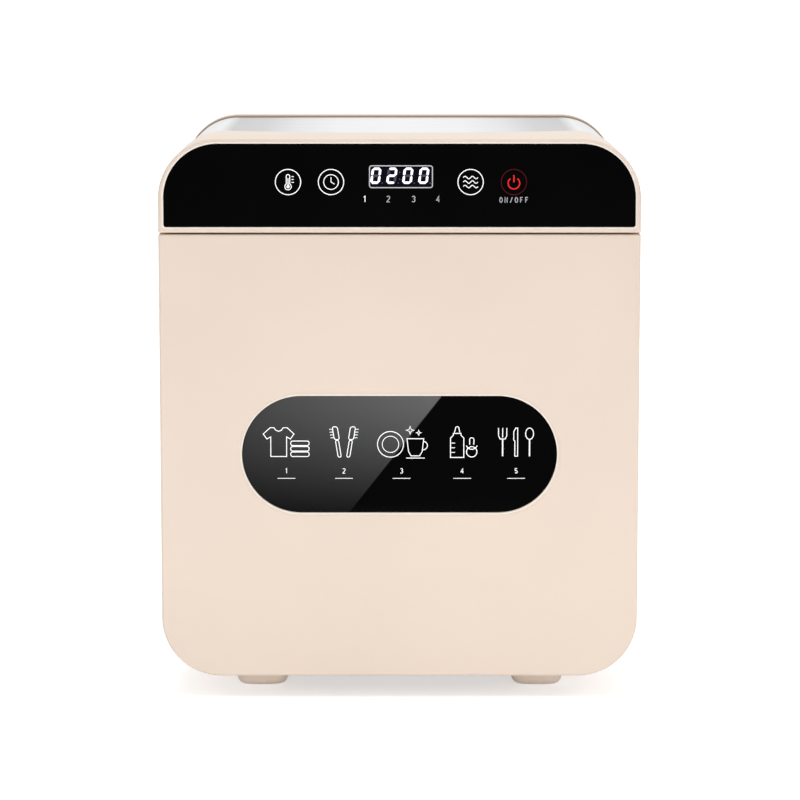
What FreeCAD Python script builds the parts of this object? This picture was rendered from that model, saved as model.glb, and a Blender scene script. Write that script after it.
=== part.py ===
"""Countertop sterilising and drying cabinet with a drop-down door, a wire rack, a basket and a fan.

Millimetres. +Z is up, the door faces -Y and the origin is the middle of the footprint on the table.
"""
import FreeCAD
import Part
import Sketcher
import math
import os

doc = FreeCAD.newDocument("SterilisingCabinet")
sheet = doc.addObject("Spreadsheet::Sheet", "Sizes")

# Driving dimensions, grouped by the piece that they belong to.
SIZES = [
    # cabinet
    ("body_width", 302), ("body_height", 342), ("body_depth", 280), ("foot_height", 14),
    ("corner_radius", 37.5), ("shell_wall", 2.5), ("front_wall", 4), ("edge_bevel", 1.4),
    ("fascia_height", 58.7), ("housing_depth_side", 85), ("housing_depth_middle", 63),
    ("lip_wall", 1.2), ("sleeve_inset", 1.5), ("sleeve_wall", 0.8),
    ("sleeve_front_depth", 48), ("seal_width", 3), ("seal_inset", 0.75), ("cover_depth", 18.5),
    ("cover_bevel", 1.7), ("tab_length", 21), ("tab_width", 40), ("tab_place", 70),
    ("tab_wall", 2), ("fit_gap", 0.3), ("bond_gap", 0.1), ("sink", 1),
    # door
    ("door_thickness", 28), ("door_gap_top", 1), ("door_gap_back", 1), ("hinge_inset", 9),
    ("door_top_radius", 2), ("swing_relief", 2), ("swing_relief_height", 5.4),
    ("window_width", 199.4), ("window_height", 75.3), ("window_rise", 143),
    ("window_bevel", 1.6), ("window_glass", 3), ("window_overlap", 6), ("clip_width", 12),
    ("clip_pitch", 56), ("clip_hook", 4), ("clip_foot", 5), ("clip_thickness", 2),
    ("panel_thickness", 3.5), ("panel_screw_rise", 66), ("panel_screw_drop", 6.8),
    ("panel_lift", 4), ("dish_inset", 12), ("dish_depth", 8), ("dish_wall", 2),
    ("dish_radius", 12), ("gasket_width", 5), ("gasket_offset", 1.5), ("gasket_groove", 2),
    ("gasket_clearance", 0.3), ("grip_radius", 8), ("grip_length", 66), ("grip_drop", 46.3),
    ("magnet_length", 20), ("magnet_height", 6), ("magnet_depth", 5), ("magnet_margin", 91),
    ("hinge_margin", 51), ("lug_width", 10), ("lug_height", 6), ("lug_end_radius", 5),
    ("pin_radius", 2), ("pin_play", 0.05), ("lug_side_gap", 0.8), ("hinge_rib", 4.7),
    ("hinge_rib_height", 22), ("bracket_width", 30), ("bracket_height", 22),
    ("bracket_plate", 2), ("bracket_screw_reach", 10), ("catch_thickness", 1.5),
    ("switch_depth", 4),
    # chamber
    ("chamber_side", 20), ("chamber_rise", 36), ("chamber_head", 13.3), ("chamber_radius", 8),
    ("liner_wall", 0.8), ("liner_flange", 4), ("rail_leg", 12), ("rail_ledge", 8),
    ("rail_sheet", 1), ("rail_end", 1), ("rack_rise", 138), ("basket_rise", 76),
    ("rack_front_gap", 8), ("rack_back_gap", 8), ("rack_side_gap", 0.6),
    ("rack_frame_height", 5), ("rack_frame_width", 3), ("frame_corner", 12),
    ("rack_wire", 2.6), ("rack_wires", 9), ("rack_strip", 7), ("basket_depth", 54),
    ("basket_sheet", 1), ("basket_flange", 10), ("basket_radius", 10),
    ("basket_slot_length", 46), ("basket_slot_width", 6), ("basket_slots", 6),
    ("basket_side_slots", 3), ("basket_slot_low", 15), ("basket_slot_high", 39),
    # lamp
    ("lamp_radius", 7.75), ("lamp_end_room", 19), ("lamp_cap_length", 8),
    ("lamp_cap_wall", 0.25), ("lamp_height", 10), ("lamp_place", -9),
    ("lamp_slot_margin", 12), ("lamp_slot_width", 48), ("reflector_height", 21),
    ("reflector_top", 25), ("reflector_flange", 10), ("reflector_sheet", 0.8),
    ("socket_length", 12), ("socket_width", 18), ("guard_sheet", 1), ("guard_margin", 6),
    ("guard_end_margin", 3.5), ("guard_slot", 14), ("guard_slots", 10),
    # fan and heater
    ("fan_size", 80), ("fan_depth", 25), ("fan_bore", 76), ("fan_tip_gap", 1.5),
    ("fan_rise", 115), ("fan_support", 4.5), ("hub_diameter", 31), ("shaft_radius", 1.5),
    ("bearing_radius", 7), ("bearing_depth", 6), ("strut_depth", 2), ("strut_width", 5),
    ("blade_count", 7), ("blade_rise", 13), ("blade_run", 17), ("blade_root", 2),
    ("blade_thickness", 1.6), ("fan_hole_pitch", 71.5), ("duct_depth", 16), ("duct_wall", 1.7),
    ("air_hole", 72), ("heater_fins", 15), ("heater_gap", 2), ("heater_bar", 4),
    ("heater_depth", 9), ("fin_thickness", 0.8), ("cutout_length", 15), ("cutout_width", 8),
    ("cutout_height", 6), ("grille_size", 92), ("grille_sheet", 1), ("grille_slots", 9),
    ("grille_slot", 4), ("grille_slot_length", 66), ("sensor_width", 7), ("sensor_depth", 4),
    ("sensor_place", 62), ("sensor_drop", 52),
    # controls
    ("glass_margin", 3.6), ("glass_top_margin", 3), ("glass_height", 52),
    ("glass_thickness", 2), ("glass_sink", 0.1), ("glass_clearance", 0.25),
    ("glass_bevel", 0.5), ("glass_low_radius", 1.5), ("glass_ledge", 6),
    ("board_thickness", 1.6), ("board_stand_off", 5.5), ("board_margin", 19),
    ("board_height", 38), ("board_screw_margin", 24), ("board_screw_pitch", 26),
    ("display_width", 40.2), ("display_height", 16), ("display_rise", 3.5),
    ("key_place", 71.5), ("key_pitch", 27.3), ("key_height", 28), ("key_pad", 8),
    ("buzzer_radius", 6), ("buzzer_depth", 7), ("buzzer_place", 66), ("chip_pitch", 36),
    ("chip_width", 14), ("chip_height", 2), ("board_plug_place", 96),
    ("board_plug_width", 22), ("board_plug_depth", 7), ("screw_head", 2.4),
    ("screw_head_depth", 1.3), ("foot_screw_head", 3.6), ("post_width", 6),
    # back
    ("vent_slots", 9), ("vent_slot_length", 64), ("vent_slot_width", 3), ("vent_pitch", 7),
    ("outlet_slots", 9), ("outlet_slot_length", 18), ("outlet_pitch", 11),
    ("outlet_drop", 40), ("inlet_width", 31), ("inlet_height", 24), ("inlet_sink", 3),
    ("inlet_depth", 18), ("inlet_wall", 3), ("inlet_shell", 1.2), ("inlet_flange", 2),
    ("inlet_margin", 2.3), ("inlet_side", 53), ("inlet_rise", 46), ("inlet_pin", 2),
    ("inlet_pin_width", 2), ("inlet_pin_pitch", 7), ("cover_screw_head", 3.6),
    ("cover_screw_margin", 19), ("cover_screw_rise", 34),
    # base
    ("foot_diameter", 33), ("foot_bevel", 1.6), ("foot_margin", 62), ("front_foot_inset", 48.5),
    ("rear_foot_inset", 45), ("base_sheet", 1.2), ("base_margin", 41), ("support_margin", 65),
    ("support_width", 16), ("support_sheet", 1.2), ("support_end_gap", 8), ("supply_gap", 11),
    ("supply_depth", 84), ("supply_place", -16), ("supply_stand_off", 6),
    ("board_parts_height", 18), ("transformer_width", 30), ("ballast_length", 96),
    ("ballast_width", 30), ("ballast_height", 19), ("ballast_margin", 40.5),
]


# Flats of round details that are too small, or too well hidden, to be drawn round.
SCREW_FLATS = 6
WIRE_FLATS = 6
SMALL_FLATS = 8
EYE_FLATS = 12
HUB_FLATS = 14
BORE_FLATS = 20
REAR_FOOT_FLATS = 24


class Size:
    """A length together with the expression that ties it to the sheet."""

    def __init__(self, number, text):
        self.number = float(number)
        self.text = text

    def joined(self, sign, other, number):
        return Size(number, "(%s %s %s)" % (self.text, sign, as_size(other).text))

    def __add__(self, other):
        return self.joined("+", other, self.number + as_size(other).number)

    def __sub__(self, other):
        return self.joined("-", other, self.number - as_size(other).number)

    def __mul__(self, other):
        return self.joined("*", other, self.number * as_size(other).number)

    def __truediv__(self, other):
        return self.joined("/", other, self.number / as_size(other).number)

    def __radd__(self, other):
        return as_size(other) + self

    def __rsub__(self, other):
        return as_size(other) - self

    def __rmul__(self, other):
        return as_size(other) * self

    def __neg__(self):
        return as_size(0) - self


def as_size(value):
    if isinstance(value, Size):
        return value
    return Size(value, repr(float(value)))


class Sheet:
    """The driving dimensions as attributes, each a Size."""


S = Sheet()
for row, (alias, value) in enumerate(SIZES, start=1):
    sheet.set("A%d" % row, alias)
    sheet.set("B%d" % row, str(value))
    sheet.setAlias("B%d" % row, alias)
    setattr(S, alias, Size(value, "Sizes." + alias))
doc.recompute()

# Places that several pieces share, all worked out from the sheet.
half_width = S.body_width / 2
front = -S.body_depth / 2
back = S.body_depth / 2
base = S.foot_height
top = base + S.body_height
seam = top - S.fascia_height
door_top = seam - S.door_gap_top
door_back = front + S.door_thickness
ring_front = door_back + S.door_gap_back
ring_back = ring_front + S.shell_wall
housing_back = front + S.housing_depth_side
sleeve_front = front + S.sleeve_front_depth
cover_front = back - S.cover_depth
cover_inner = back - S.shell_wall
sleeve_back = cover_front - S.seal_width
axis_y = front + S.hinge_inset
axis_z = base + S.hinge_inset
hinge_x = half_width - S.hinge_margin
magnet_x = half_width - S.magnet_margin
window_centre = base + S.window_rise
grip_centre = door_top - S.grip_drop
fan_back = cover_inner - S.fan_support
fan_front = fan_back - S.fan_depth
chamber_half = half_width - S.chamber_side
chamber_low = base + S.chamber_rise
chamber_high = seam - S.chamber_head
chamber_back = fan_front - S.duct_depth
fan_height = chamber_low + S.fan_rise
rack_level = chamber_low + S.rack_rise
basket_level = chamber_low + S.basket_rise
liner_low = chamber_low - S.liner_wall
liner_high = chamber_high + S.liner_wall
liner_back = chamber_back + S.liner_wall
fascia_back = front + S.front_wall
glass_half = half_width - S.glass_margin
glass_high = top - S.glass_top_margin
glass_low = glass_high - S.glass_height
glass_front = front + S.glass_sink
glass_back = glass_front + S.glass_thickness
board_front = fascia_back + S.board_stand_off
board_back = board_front + S.board_thickness
board_half = half_width - S.board_margin
key_level = glass_low + S.key_height
panel_front = door_back - S.panel_thickness
panel_half = half_width - S.shell_wall - S.fit_gap
gasket_out = chamber_half + S.gasket_offset + S.gasket_width
rack_half = chamber_half - S.rail_sheet - S.rack_side_gap
rack_front = ring_front + S.rack_front_gap - S.sink
rack_back = chamber_back - S.rack_back_gap
lamp_level = chamber_high + S.lamp_height
lamp_slot_half = chamber_half - S.lamp_slot_margin
lamp_half = lamp_slot_half - S.lamp_end_room
reflector_high = liner_high + S.reflector_height
base_low = base + S.shell_wall
base_high = base_low + S.base_sheet
base_end = cover_front - S.tab_length - S.sink
foot_x = half_width - S.foot_margin
front_foot_y = front + S.front_foot_inset
rear_foot_y = back - S.rear_foot_inset
support_x = half_width - S.support_margin
supply_half = support_x - S.support_width / 2 - S.supply_gap
inlet_level = base + S.inlet_rise
inlet_x = S.inlet_side - half_width

parts = {}


# Helpers: sketches, features and primitives whose sizes are bound to the sheet.

def keep(name, item):
    item.Label = name
    parts[name] = item
    return item


def bind(item, place, value):
    value = as_size(value)
    item.setExpression(place, value.text)


def origin_feature(body, role):
    for feature in body.Origin.OriginFeatures:
        if feature.Role == role:
            return feature


def new_body(name):
    return keep(name, doc.addObject("PartDesign::Body", name))


def new_sketch(body, name, plane, place):
    sketch = body.newObject("Sketcher::SketchObject", name)
    sketch.AttachmentSupport = [(origin_feature(body, plane + "_Plane"), "")]
    sketch.MapMode = "FlatFace"
    bind(sketch, ".AttachmentOffset.Base.z", -as_size(place) if plane == "XZ" else place)
    return sketch


def hold(sketch, kind, geometry, point, value):
    """Places a point, or one coordinate of it, from the sketch's origin."""
    value = as_size(value)
    index = sketch.addConstraint(Sketcher.Constraint(kind, -1, 1, geometry, point, value.number))
    sketch.setExpression("Constraints[%d]" % index, value.text)


def hold_radius(sketch, geometry, value):
    value = as_size(value)
    index = sketch.addConstraint(Sketcher.Constraint("Radius", geometry, value.number))
    sketch.setExpression("Constraints[%d]" % index, value.text)


def flat(x, y):
    return FreeCAD.Vector(as_size(x).number, as_size(y).number, 0)


def add_arc(sketch, x, y, radius, start, end):
    circle = Part.Circle(flat(x, y), FreeCAD.Vector(0, 0, 1), as_size(radius).number)
    return sketch.addGeometry(Part.ArcOfCircle(circle, math.radians(start), math.radians(end)))


def circle(x, y, radius):
    def draw(sketch):
        geometry = sketch.addGeometry(
            Part.Circle(flat(x, y), FreeCAD.Vector(0, 0, 1), as_size(radius).number))
        hold(sketch, "DistanceX", geometry, 3, x)
        hold(sketch, "DistanceY", geometry, 3, y)
        hold_radius(sketch, geometry, radius)
    return draw


def polygon(*points):
    def draw(sketch):
        count = len(points)
        lines = []
        for index in range(count):
            start = flat(*points[index])
            end = flat(*points[(index + 1) % count])
            lines.append(sketch.addGeometry(Part.LineSegment(start, end)))
        for index in range(count):
            following = lines[(index + 1) % count]
            sketch.addConstraint(Sketcher.Constraint("Coincident", lines[index], 2, following, 1))
            hold(sketch, "DistanceX", lines[index], 1, points[index][0])
            hold(sketch, "DistanceY", lines[index], 1, points[index][1])
    return draw


def rounded(left, right, low, high, radii):
    """A rectangle with a radius at low left, low right, high right and high left; 0 is sharp."""
    def draw(sketch):
        if isinstance(radii, (tuple, list)):
            corner_radii = radii
        else:
            corner_radii = [radii] * 4
        corners = [(left, low), (right, low), (right, high), (left, high)]
        inward = [(1, 1), (-1, 1), (-1, -1), (1, -1)]
        along = [(1, 0), (0, 1), (-1, 0), (0, -1)]
        lines = []
        for index in range(4):
            after = (index + 1) % 4
            start = flat(*corners[index])
            end = flat(*corners[after])
            step = FreeCAD.Vector(along[index][0], along[index][1], 0)
            start = start + step * as_size(corner_radii[index]).number
            end = end - step * as_size(corner_radii[after]).number
            lines.append(sketch.addGeometry(Part.LineSegment(start, end)))
        for index in range(4):
            before = lines[index - 1]
            radius = corner_radii[index]
            if as_size(radius).number == 0:
                sketch.addConstraint(Sketcher.Constraint("Coincident", before, 2, lines[index], 1))
                continue
            x = corners[index][0] + radius * inward[index][0]
            y = corners[index][1] + radius * inward[index][1]
            arc = add_arc(sketch, x, y, radius, 180 + 90 * index, 270 + 90 * index)
            sketch.addConstraint(Sketcher.Constraint("Tangent", before, 2, arc, 1))
            sketch.addConstraint(Sketcher.Constraint("Tangent", arc, 2, lines[index], 1))
            hold_radius(sketch, arc, radius)
        for index, kind in enumerate(("Horizontal", "Vertical", "Horizontal", "Vertical")):
            sketch.addConstraint(Sketcher.Constraint(kind, lines[index]))
        hold(sketch, "DistanceY", lines[0], 1, low)
        hold(sketch, "DistanceX", lines[1], 1, right)
        hold(sketch, "DistanceY", lines[2], 1, high)
        hold(sketch, "DistanceX", lines[3], 1, left)
    return draw


def rectangle(left, right, low, high):
    return rounded(left, right, low, high, 0)


def square(x, y, width):
    return rectangle(x - width / 2, x + width / 2, y - width / 2, y + width / 2)


def between(first, second, low, high):
    """A rectangle whose sides, and whose ends, may be given in either order."""
    if as_size(first).number > as_size(second).number:
        first, second = second, first
    if as_size(low).number > as_size(high).number:
        low, high = high, low
    return rectangle(first, second, low, high)


def flats(x, y, radius, sides):
    """A round detail drawn with flats inside its circle."""
    points = []
    for number in range(sides):
        angle = 2 * math.pi * (number + 0.5) / sides
        points.append((x + radius * math.cos(angle), y + radius * math.sin(angle)))
    return polygon(*points)


def flats_around(x, y, radius, sides):
    """The same with its flats touching the circle from outside, as in a bore that grips a pin."""
    return flats(x, y, radius / math.cos(math.pi / sides), sides)


def stadium(x, y, width, height):
    """A lying oval with straight long sides and round ends."""
    def draw(sketch):
        radius = height / 2
        reach = width / 2 - radius
        low = sketch.addGeometry(
            Part.LineSegment(flat(x - reach, y - radius), flat(x + reach, y - radius)))
        high = sketch.addGeometry(
            Part.LineSegment(flat(x + reach, y + radius), flat(x - reach, y + radius)))
        right = add_arc(sketch, x + reach, y, radius, -90, 90)
        left = add_arc(sketch, x - reach, y, radius, 90, 270)
        for first, second in ((low, right), (right, high), (high, left), (left, low)):
            sketch.addConstraint(Sketcher.Constraint("Tangent", first, 2, second, 1))
        sketch.addConstraint(Sketcher.Constraint("Equal", left, right))
        hold_radius(sketch, right, radius)
        hold(sketch, "DistanceX", right, 3, x + reach)
        hold(sketch, "DistanceY", right, 3, y)
        hold(sketch, "DistanceX", left, 3, x - reach)
        hold(sketch, "DistanceY", left, 3, y)
    return draw


def extrusion(body, kind, name, plane, low, high, shapes):
    """A Pad or Pocket between two places along the plane's axis."""
    from_high = (kind == "Pad") == (plane == "XZ")
    sketch = new_sketch(body, name + "_sketch", plane, high if from_high else low)
    for shape in shapes:
        shape(sketch)
    feature = body.newObject("PartDesign::" + kind, name)
    feature.Profile = sketch
    bind(feature, "Length", as_size(high) - low)
    doc.recompute()
    return feature


def pad(body, name, plane, low, high, *shapes):
    return extrusion(body, "Pad", name, plane, low, high, shapes)


def pocket(body, name, plane, low, high, *shapes):
    return extrusion(body, "Pocket", name, plane, low, high, shapes)


def pattern(body, name, feature, axis, pitch, count):
    """Copies of a feature at a pitch along one of the body's axes."""
    copies = body.newObject("PartDesign::LinearPattern", name)
    copies.Originals = [feature]
    copies.Direction = (origin_feature(body, axis + "_Axis"), [""])
    bind(copies, "Length", pitch * (count - 1))
    bind(copies, "Occurrences", count)
    body.Tip = copies
    doc.recompute()
    return copies


def edge_names(feature, wanted):
    names = []
    for index, edge in enumerate(feature.Shape.Edges, start=1):
        if wanted(edge.BoundBox):
            names.append("Edge%d" % index)
    return names


def chamfer(body, name, wanted, size):
    """A Chamfer on the edges whose boxes are wanted."""
    last = body.Tip
    feature = body.newObject("PartDesign::Chamfer", name)
    feature.Base = (last, edge_names(last, wanted))
    bind(feature, "Size", size)
    doc.recompute()
    return feature


def near(first, second):
    return abs(as_size(first).number - as_size(second).number) < 0.01


def box(name, left, right, near_y, far_y, low, high):
    item = doc.addObject("Part::Box", name)
    bind(item, "Length", as_size(right) - left)
    bind(item, "Width", as_size(far_y) - near_y)
    bind(item, "Height", as_size(high) - low)
    bind(item, ".Placement.Base.x", left)
    bind(item, ".Placement.Base.y", near_y)
    bind(item, ".Placement.Base.z", low)
    return item


TURNS = {
    "X": FreeCAD.Rotation(FreeCAD.Vector(0, 1, 0), 90),
    "Y": FreeCAD.Rotation(FreeCAD.Vector(1, 0, 0), -90),
    "Z": FreeCAD.Rotation(),
}


def aligned(item, axis, x, y, z):
    item.Placement = FreeCAD.Placement(FreeCAD.Vector(), TURNS[axis])
    bind(item, ".Placement.Base.x", x)
    bind(item, ".Placement.Base.y", y)
    bind(item, ".Placement.Base.z", z)
    return item


def rod(name, axis, radius, length, x, y, z):
    """A cylinder that starts at a point and runs along an axis."""
    item = doc.addObject("Part::Cylinder", name)
    bind(item, "Radius", radius)
    bind(item, "Height", length)
    return aligned(item, axis, x, y, z)


def prism(name, sides, axis, radius, length, x, y, z):
    item = doc.addObject("Part::Prism", name)
    item.Polygon = sides
    bind(item, "Circumradius", radius)
    bind(item, "Height", length)
    return aligned(item, axis, x, y, z)


def group(name, items):
    """Separate solids that share one node."""
    joined = doc.addObject("Part::Compound", name)
    joined.Links = items
    return keep(name, joined)


def body_outline(inset):
    return rounded(-half_width + inset, half_width - inset, base + inset, top - inset,
                   S.corner_radius - inset)


def chamber_outline(offset):
    return rounded(-chamber_half - offset, chamber_half + offset, chamber_low - offset,
                   chamber_high + offset, S.chamber_radius + offset)


# Outer shells

def top_sweep(sketch):
    """The housing's rear edge on top: an arc that is nearer the front in the middle."""
    reach = half_width - S.corner_radius
    middle = front + S.housing_depth_middle
    rise = housing_back - middle
    radius = (reach * reach + rise * rise) / (rise * 2)
    centre_y = middle + radius
    angle = math.degrees(math.asin(reach.number / radius.number))
    arc = add_arc(sketch, 0, centre_y, radius, 270 - angle, 270 + angle)
    corners = [(reach, housing_back), (reach, centre_y), (-reach, centre_y), (-reach, housing_back)]
    lines = []
    for index in range(3):
        lines.append(sketch.addGeometry(
            Part.LineSegment(flat(*corners[index]), flat(*corners[index + 1]))))
    chain = [arc] + lines
    for index in range(4):
        sketch.addConstraint(
            Sketcher.Constraint("Coincident", chain[index], 2, chain[(index + 1) % 4], 1))
    for index in range(3):
        hold(sketch, "DistanceX", lines[index], 2, corners[index + 1][0])
        hold(sketch, "DistanceY", lines[index], 2, corners[index + 1][1])
    hold(sketch, "DistanceX", arc, 2, reach)
    hold(sketch, "DistanceY", arc, 2, housing_back)
    hold_radius(sketch, arc, radius)


def make_front_housing():
    body = new_body("front_housing")
    radius = S.corner_radius
    inner = radius - S.shell_wall
    pad(body, "surround", "XZ", ring_front, housing_back, body_outline(0))
    pad(body, "fascia", "XZ", front, ring_front,
        rounded(-half_width, half_width, seam, top, (0, 0, radius, radius)))
    chamfer(body, "fascia_edge",
            lambda at: near(at.YMin, front) and near(at.YMax, front), S.edge_bevel)
    pocket(body, "hollow", "XZ", ring_back, housing_back, body_outline(S.shell_wall))
    inset = S.shell_wall
    pocket(body, "fascia_hollow", "XZ", fascia_back, ring_back,
           rounded(-half_width + inset, half_width - inset, seam + inset, top - inset,
                   (0, 0, inner, inner)))
    pocket(body, "chamber_opening", "XZ", ring_front, ring_back, chamber_outline(0))
    pocket(body, "sleeve_seat", "XZ", sleeve_front, housing_back, body_outline(S.lip_wall))
    pocket(body, "swept_edge", "XY", top - S.corner_radius, top, top_sweep)
    gap = S.glass_clearance
    glass_radius = radius - S.glass_margin
    pocket(body, "glass_recess", "XZ", front, glass_back,
           rounded(-glass_half - gap, glass_half + gap, glass_low - gap, glass_high + gap,
                   (S.glass_low_radius + gap, S.glass_low_radius + gap,
                    glass_radius + gap, glass_radius + gap)))
    ledge = S.glass_ledge
    reach = half_width - S.board_screw_margin - ledge
    pocket(body, "electronics_window", "XZ", glass_back, fascia_back,
           rectangle(-reach, reach, glass_low + ledge, glass_high - ledge))
    posts = []
    for x, z in board_screw_points():
        posts.append(square(x, z, S.post_width))
    pad(body, "board_posts", "XZ", fascia_back, board_front, *posts)
    slots = []
    reach = S.lug_end_radius + S.fit_gap
    for side in (-1, 1):
        slots.append(rectangle(hinge_x * side - S.lug_width / 2 - S.fit_gap,
                               hinge_x * side + S.lug_width / 2 + S.fit_gap,
                               axis_z - reach, axis_z + reach))
    pocket(body, "lug_slots", "XZ", ring_front, ring_back, *slots)


def make_outer_sleeve():
    body = new_body("outer_sleeve")
    pad(body, "wrap", "XZ", sleeve_front, sleeve_back, body_outline(S.sleeve_inset),
        body_outline(S.sleeve_inset + S.sleeve_wall))


def make_sleeve_seal():
    body = new_body("sleeve_rear_seal")
    pad(body, "band", "XZ", sleeve_back, cover_front, body_outline(S.seal_inset),
        body_outline(S.shell_wall + S.bond_gap))


def make_rear_cover():
    body = new_body("rear_cover")
    pad(body, "shell", "XZ", cover_front, back, body_outline(0))
    chamfer(body, "back_edge", lambda at: near(at.YMin, back) and near(at.YMax, back),
            S.cover_bevel)
    pocket(body, "hollow", "XZ", cover_front, cover_inner, body_outline(S.shell_wall))
    pad(body, "tabs", "XZ", cover_front - S.tab_length, cover_inner + S.bond_gap, *cover_tabs())
    posts = []
    for x, z in fan_corner_points():
        posts.append(square(x, z, S.post_width))
    pad(body, "fan_posts", "XZ", fan_back, cover_inner, *posts)
    reach = S.vent_slot_length / 2
    width = S.vent_slot_width / 2
    low = fan_height - S.vent_pitch * (S.vent_slots - 1) / 2
    slot = pocket(body, "intake_slot", "XZ", cover_inner, back,
                  rectangle(-reach, reach, low - width, low + width))
    pattern(body, "intake_slots", slot, "Z", S.vent_pitch, S.vent_slots)
    left = -S.outlet_pitch * (S.outlet_slots - 1) / 2
    reach = S.outlet_slot_length / 2
    level = top - S.outlet_drop
    slot = pocket(body, "outlet_slot", "XZ", cover_inner, back,
                  rectangle(left - width, left + width, level - reach, level + reach))
    pattern(body, "outlet_slots", slot, "X", S.outlet_pitch, S.outlet_slots)
    margin = S.inlet_margin
    pad(body, "inlet_well", "XZ", back - S.inlet_sink - S.shell_wall, cover_inner,
        inlet_outline(margin + S.shell_wall))
    pocket(body, "inlet_sink", "XZ", back - S.inlet_sink, back, inlet_outline(margin))
    pocket(body, "inlet_hole", "XZ", back - S.inlet_sink - S.shell_wall, back - S.inlet_sink,
           inlet_outline(S.fit_gap - S.inlet_wall))
    seats = []
    for x, z in cover_screw_points():
        seats.append(square(x, z, (S.cover_screw_head + S.fit_gap) * 2))
    pocket(body, "screw_head_seats", "XZ", back - S.screw_head_depth, back, *seats)


def cover_tabs():
    """Two tongues on each side of the cover that reach into the sleeve and hold it to its line."""
    outer = S.shell_wall + S.bond_gap * 2
    inner = outer + S.tab_wall
    half = S.tab_width / 2
    middle = (base + top) / 2
    shapes = []
    for side in (-1, 1):
        edge = half_width * side
        x = S.tab_place * side
        for end, level in ((-1, base), (1, top)):
            z = middle + S.tab_place * end
            shapes.append(between(edge - outer * side, edge - inner * side, z - half, z + half))
            shapes.append(between(x - half, x + half, level - outer * end, level - inner * end))
    return shapes


def inlet_outline(margin):
    return rectangle(inlet_x - S.inlet_width / 2 - margin,
                     inlet_x + S.inlet_width / 2 + margin,
                     inlet_level - S.inlet_height / 2 - margin,
                     inlet_level + S.inlet_height / 2 + margin)


def cover_screw_points():
    points = []
    x = half_width - S.cover_screw_margin
    for side in (-1, 1):
        for z in (base + S.cover_screw_rise, top - S.cover_screw_rise):
            points.append((x * side, z))
    return points


def fan_corner_points():
    pitch = S.fan_hole_pitch / 2
    points = []
    for x in (-pitch, pitch):
        for z in (fan_height - pitch, fan_height + pitch):
            points.append((x, z))
    return points


def make_cover_screws():
    heads = []
    for index, (x, z) in enumerate(cover_screw_points()):
        heads.append(prism("cover_screw%d" % index, SMALL_FLATS, "Y", S.cover_screw_head,
                           S.screw_head_depth, x, back - S.screw_head_depth, z))
    group("rear_cover_screws", heads)


def make_power_inlet():
    body = new_body("power_inlet")
    face = back - S.inlet_sink
    rim = face + S.inlet_flange
    floor = face - S.inlet_depth
    pad(body, "flange", "XZ", face, rim, inlet_outline(0))
    pad(body, "shroud", "XZ", floor, face, inlet_outline(-S.inlet_wall))
    pocket(body, "socket", "XZ", floor + S.inlet_shell, rim,
           inlet_outline(-S.inlet_wall - S.inlet_shell))
    pins = []
    half = S.inlet_pin_width / 2
    for number in (-1, 0, 1):
        x = inlet_x + S.inlet_pin_pitch * number
        z = inlet_level + (S.inlet_pin if number == 0 else 0)
        pins.append(rectangle(x - half, x + half, z - S.inlet_pin, z + S.inlet_pin))
    pad(body, "pins", "XZ", floor + S.inlet_shell, face, *pins)


# Door

def make_door_shell():
    body = new_body("door_shell")
    low_radius = S.corner_radius
    radii = (low_radius, low_radius, S.door_top_radius, S.door_top_radius)
    pad(body, "shell", "XZ", front, door_back,
        rounded(-half_width, half_width, base, door_top, radii))
    chamfer(body, "front_edge",
            lambda at: near(at.YMin, front) and near(at.YMax, front), S.edge_bevel)
    wall = S.shell_wall
    inner = low_radius - wall
    pocket(body, "hollow", "XZ", front + wall, door_back,
           rounded(-half_width + wall, half_width - wall, base + wall, door_top - wall,
                   (inner, inner, 0, 0)))
    pocket(body, "window_hole", "XZ", front, front + wall,
           stadium(0, window_centre, S.window_width, S.window_height))
    reach = (S.window_width / 2 + S.sink).number
    rise = (S.window_height / 2 + S.sink).number
    middle = window_centre.number
    chamfer(body, "window_bevel",
            lambda at: (near(at.YMin, front) and near(at.YMax, front)
                        and max(abs(at.XMin), abs(at.XMax)) < reach
                        and max(abs(at.ZMin - middle), abs(at.ZMax - middle)) < rise),
            S.window_bevel)
    grip_low = grip_centre - S.grip_length / 2
    grip_high = grip_centre + S.grip_length / 2
    blocks = []
    grooves = []
    for side in (-1, 1):
        edge = half_width * side
        blocks.append(between(edge - (S.grip_radius + wall) * side, edge - wall * side,
                              door_back - S.grip_radius - wall, door_back))
        grooves.append(circle(edge, door_back, S.grip_radius))
    pad(body, "grip_blocks", "XY", grip_low - wall, grip_high + wall, *blocks)
    pocket(body, "finger_grips", "XY", grip_low, grip_high, *grooves)
    ribs = []
    notches = []
    posts = []
    for side in (-1, 1):
        inner_x = S.lug_width / 2 + S.lug_side_gap
        outer_x = inner_x + S.hinge_rib
        centre = hinge_x * side
        for first, second in ((-outer_x, -inner_x), (inner_x, outer_x)):
            ribs.append(rectangle(centre + first, centre + second, base + S.sink,
                                  base + S.hinge_rib_height))
        notches.append(rectangle(centre - inner_x, centre + inner_x, base - S.sink,
                                 axis_z + S.lug_end_radius + S.fit_gap * 2))
    for x, z in panel_screw_points():
        posts.append(square(x, z, S.post_width))
    pad(body, "hinge_ribs", "XZ", front + S.sink, panel_front - S.fit_gap, *ribs)
    pad(body, "panel_posts", "XZ", front + wall, panel_front, *posts)
    pocket(body, "lug_notches", "XZ", axis_y - S.lug_end_radius - S.fit_gap * 2, door_back,
           *notches)
    reach = hinge_x + S.lug_width
    pocket(body, "pin_bore", "YZ", -reach - S.hinge_rib, reach + S.hinge_rib,
           flats_around(axis_y, axis_z, S.pin_radius + S.pin_play / 2, SMALL_FLATS))
    pocket(body, "swing_relief", "YZ", -half_width, half_width,
           polygon((door_back, base - S.sink), (door_back, base + S.swing_relief_height),
                   (door_back - S.swing_relief, base),
                   (door_back - S.swing_relief, base - S.sink)))


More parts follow.
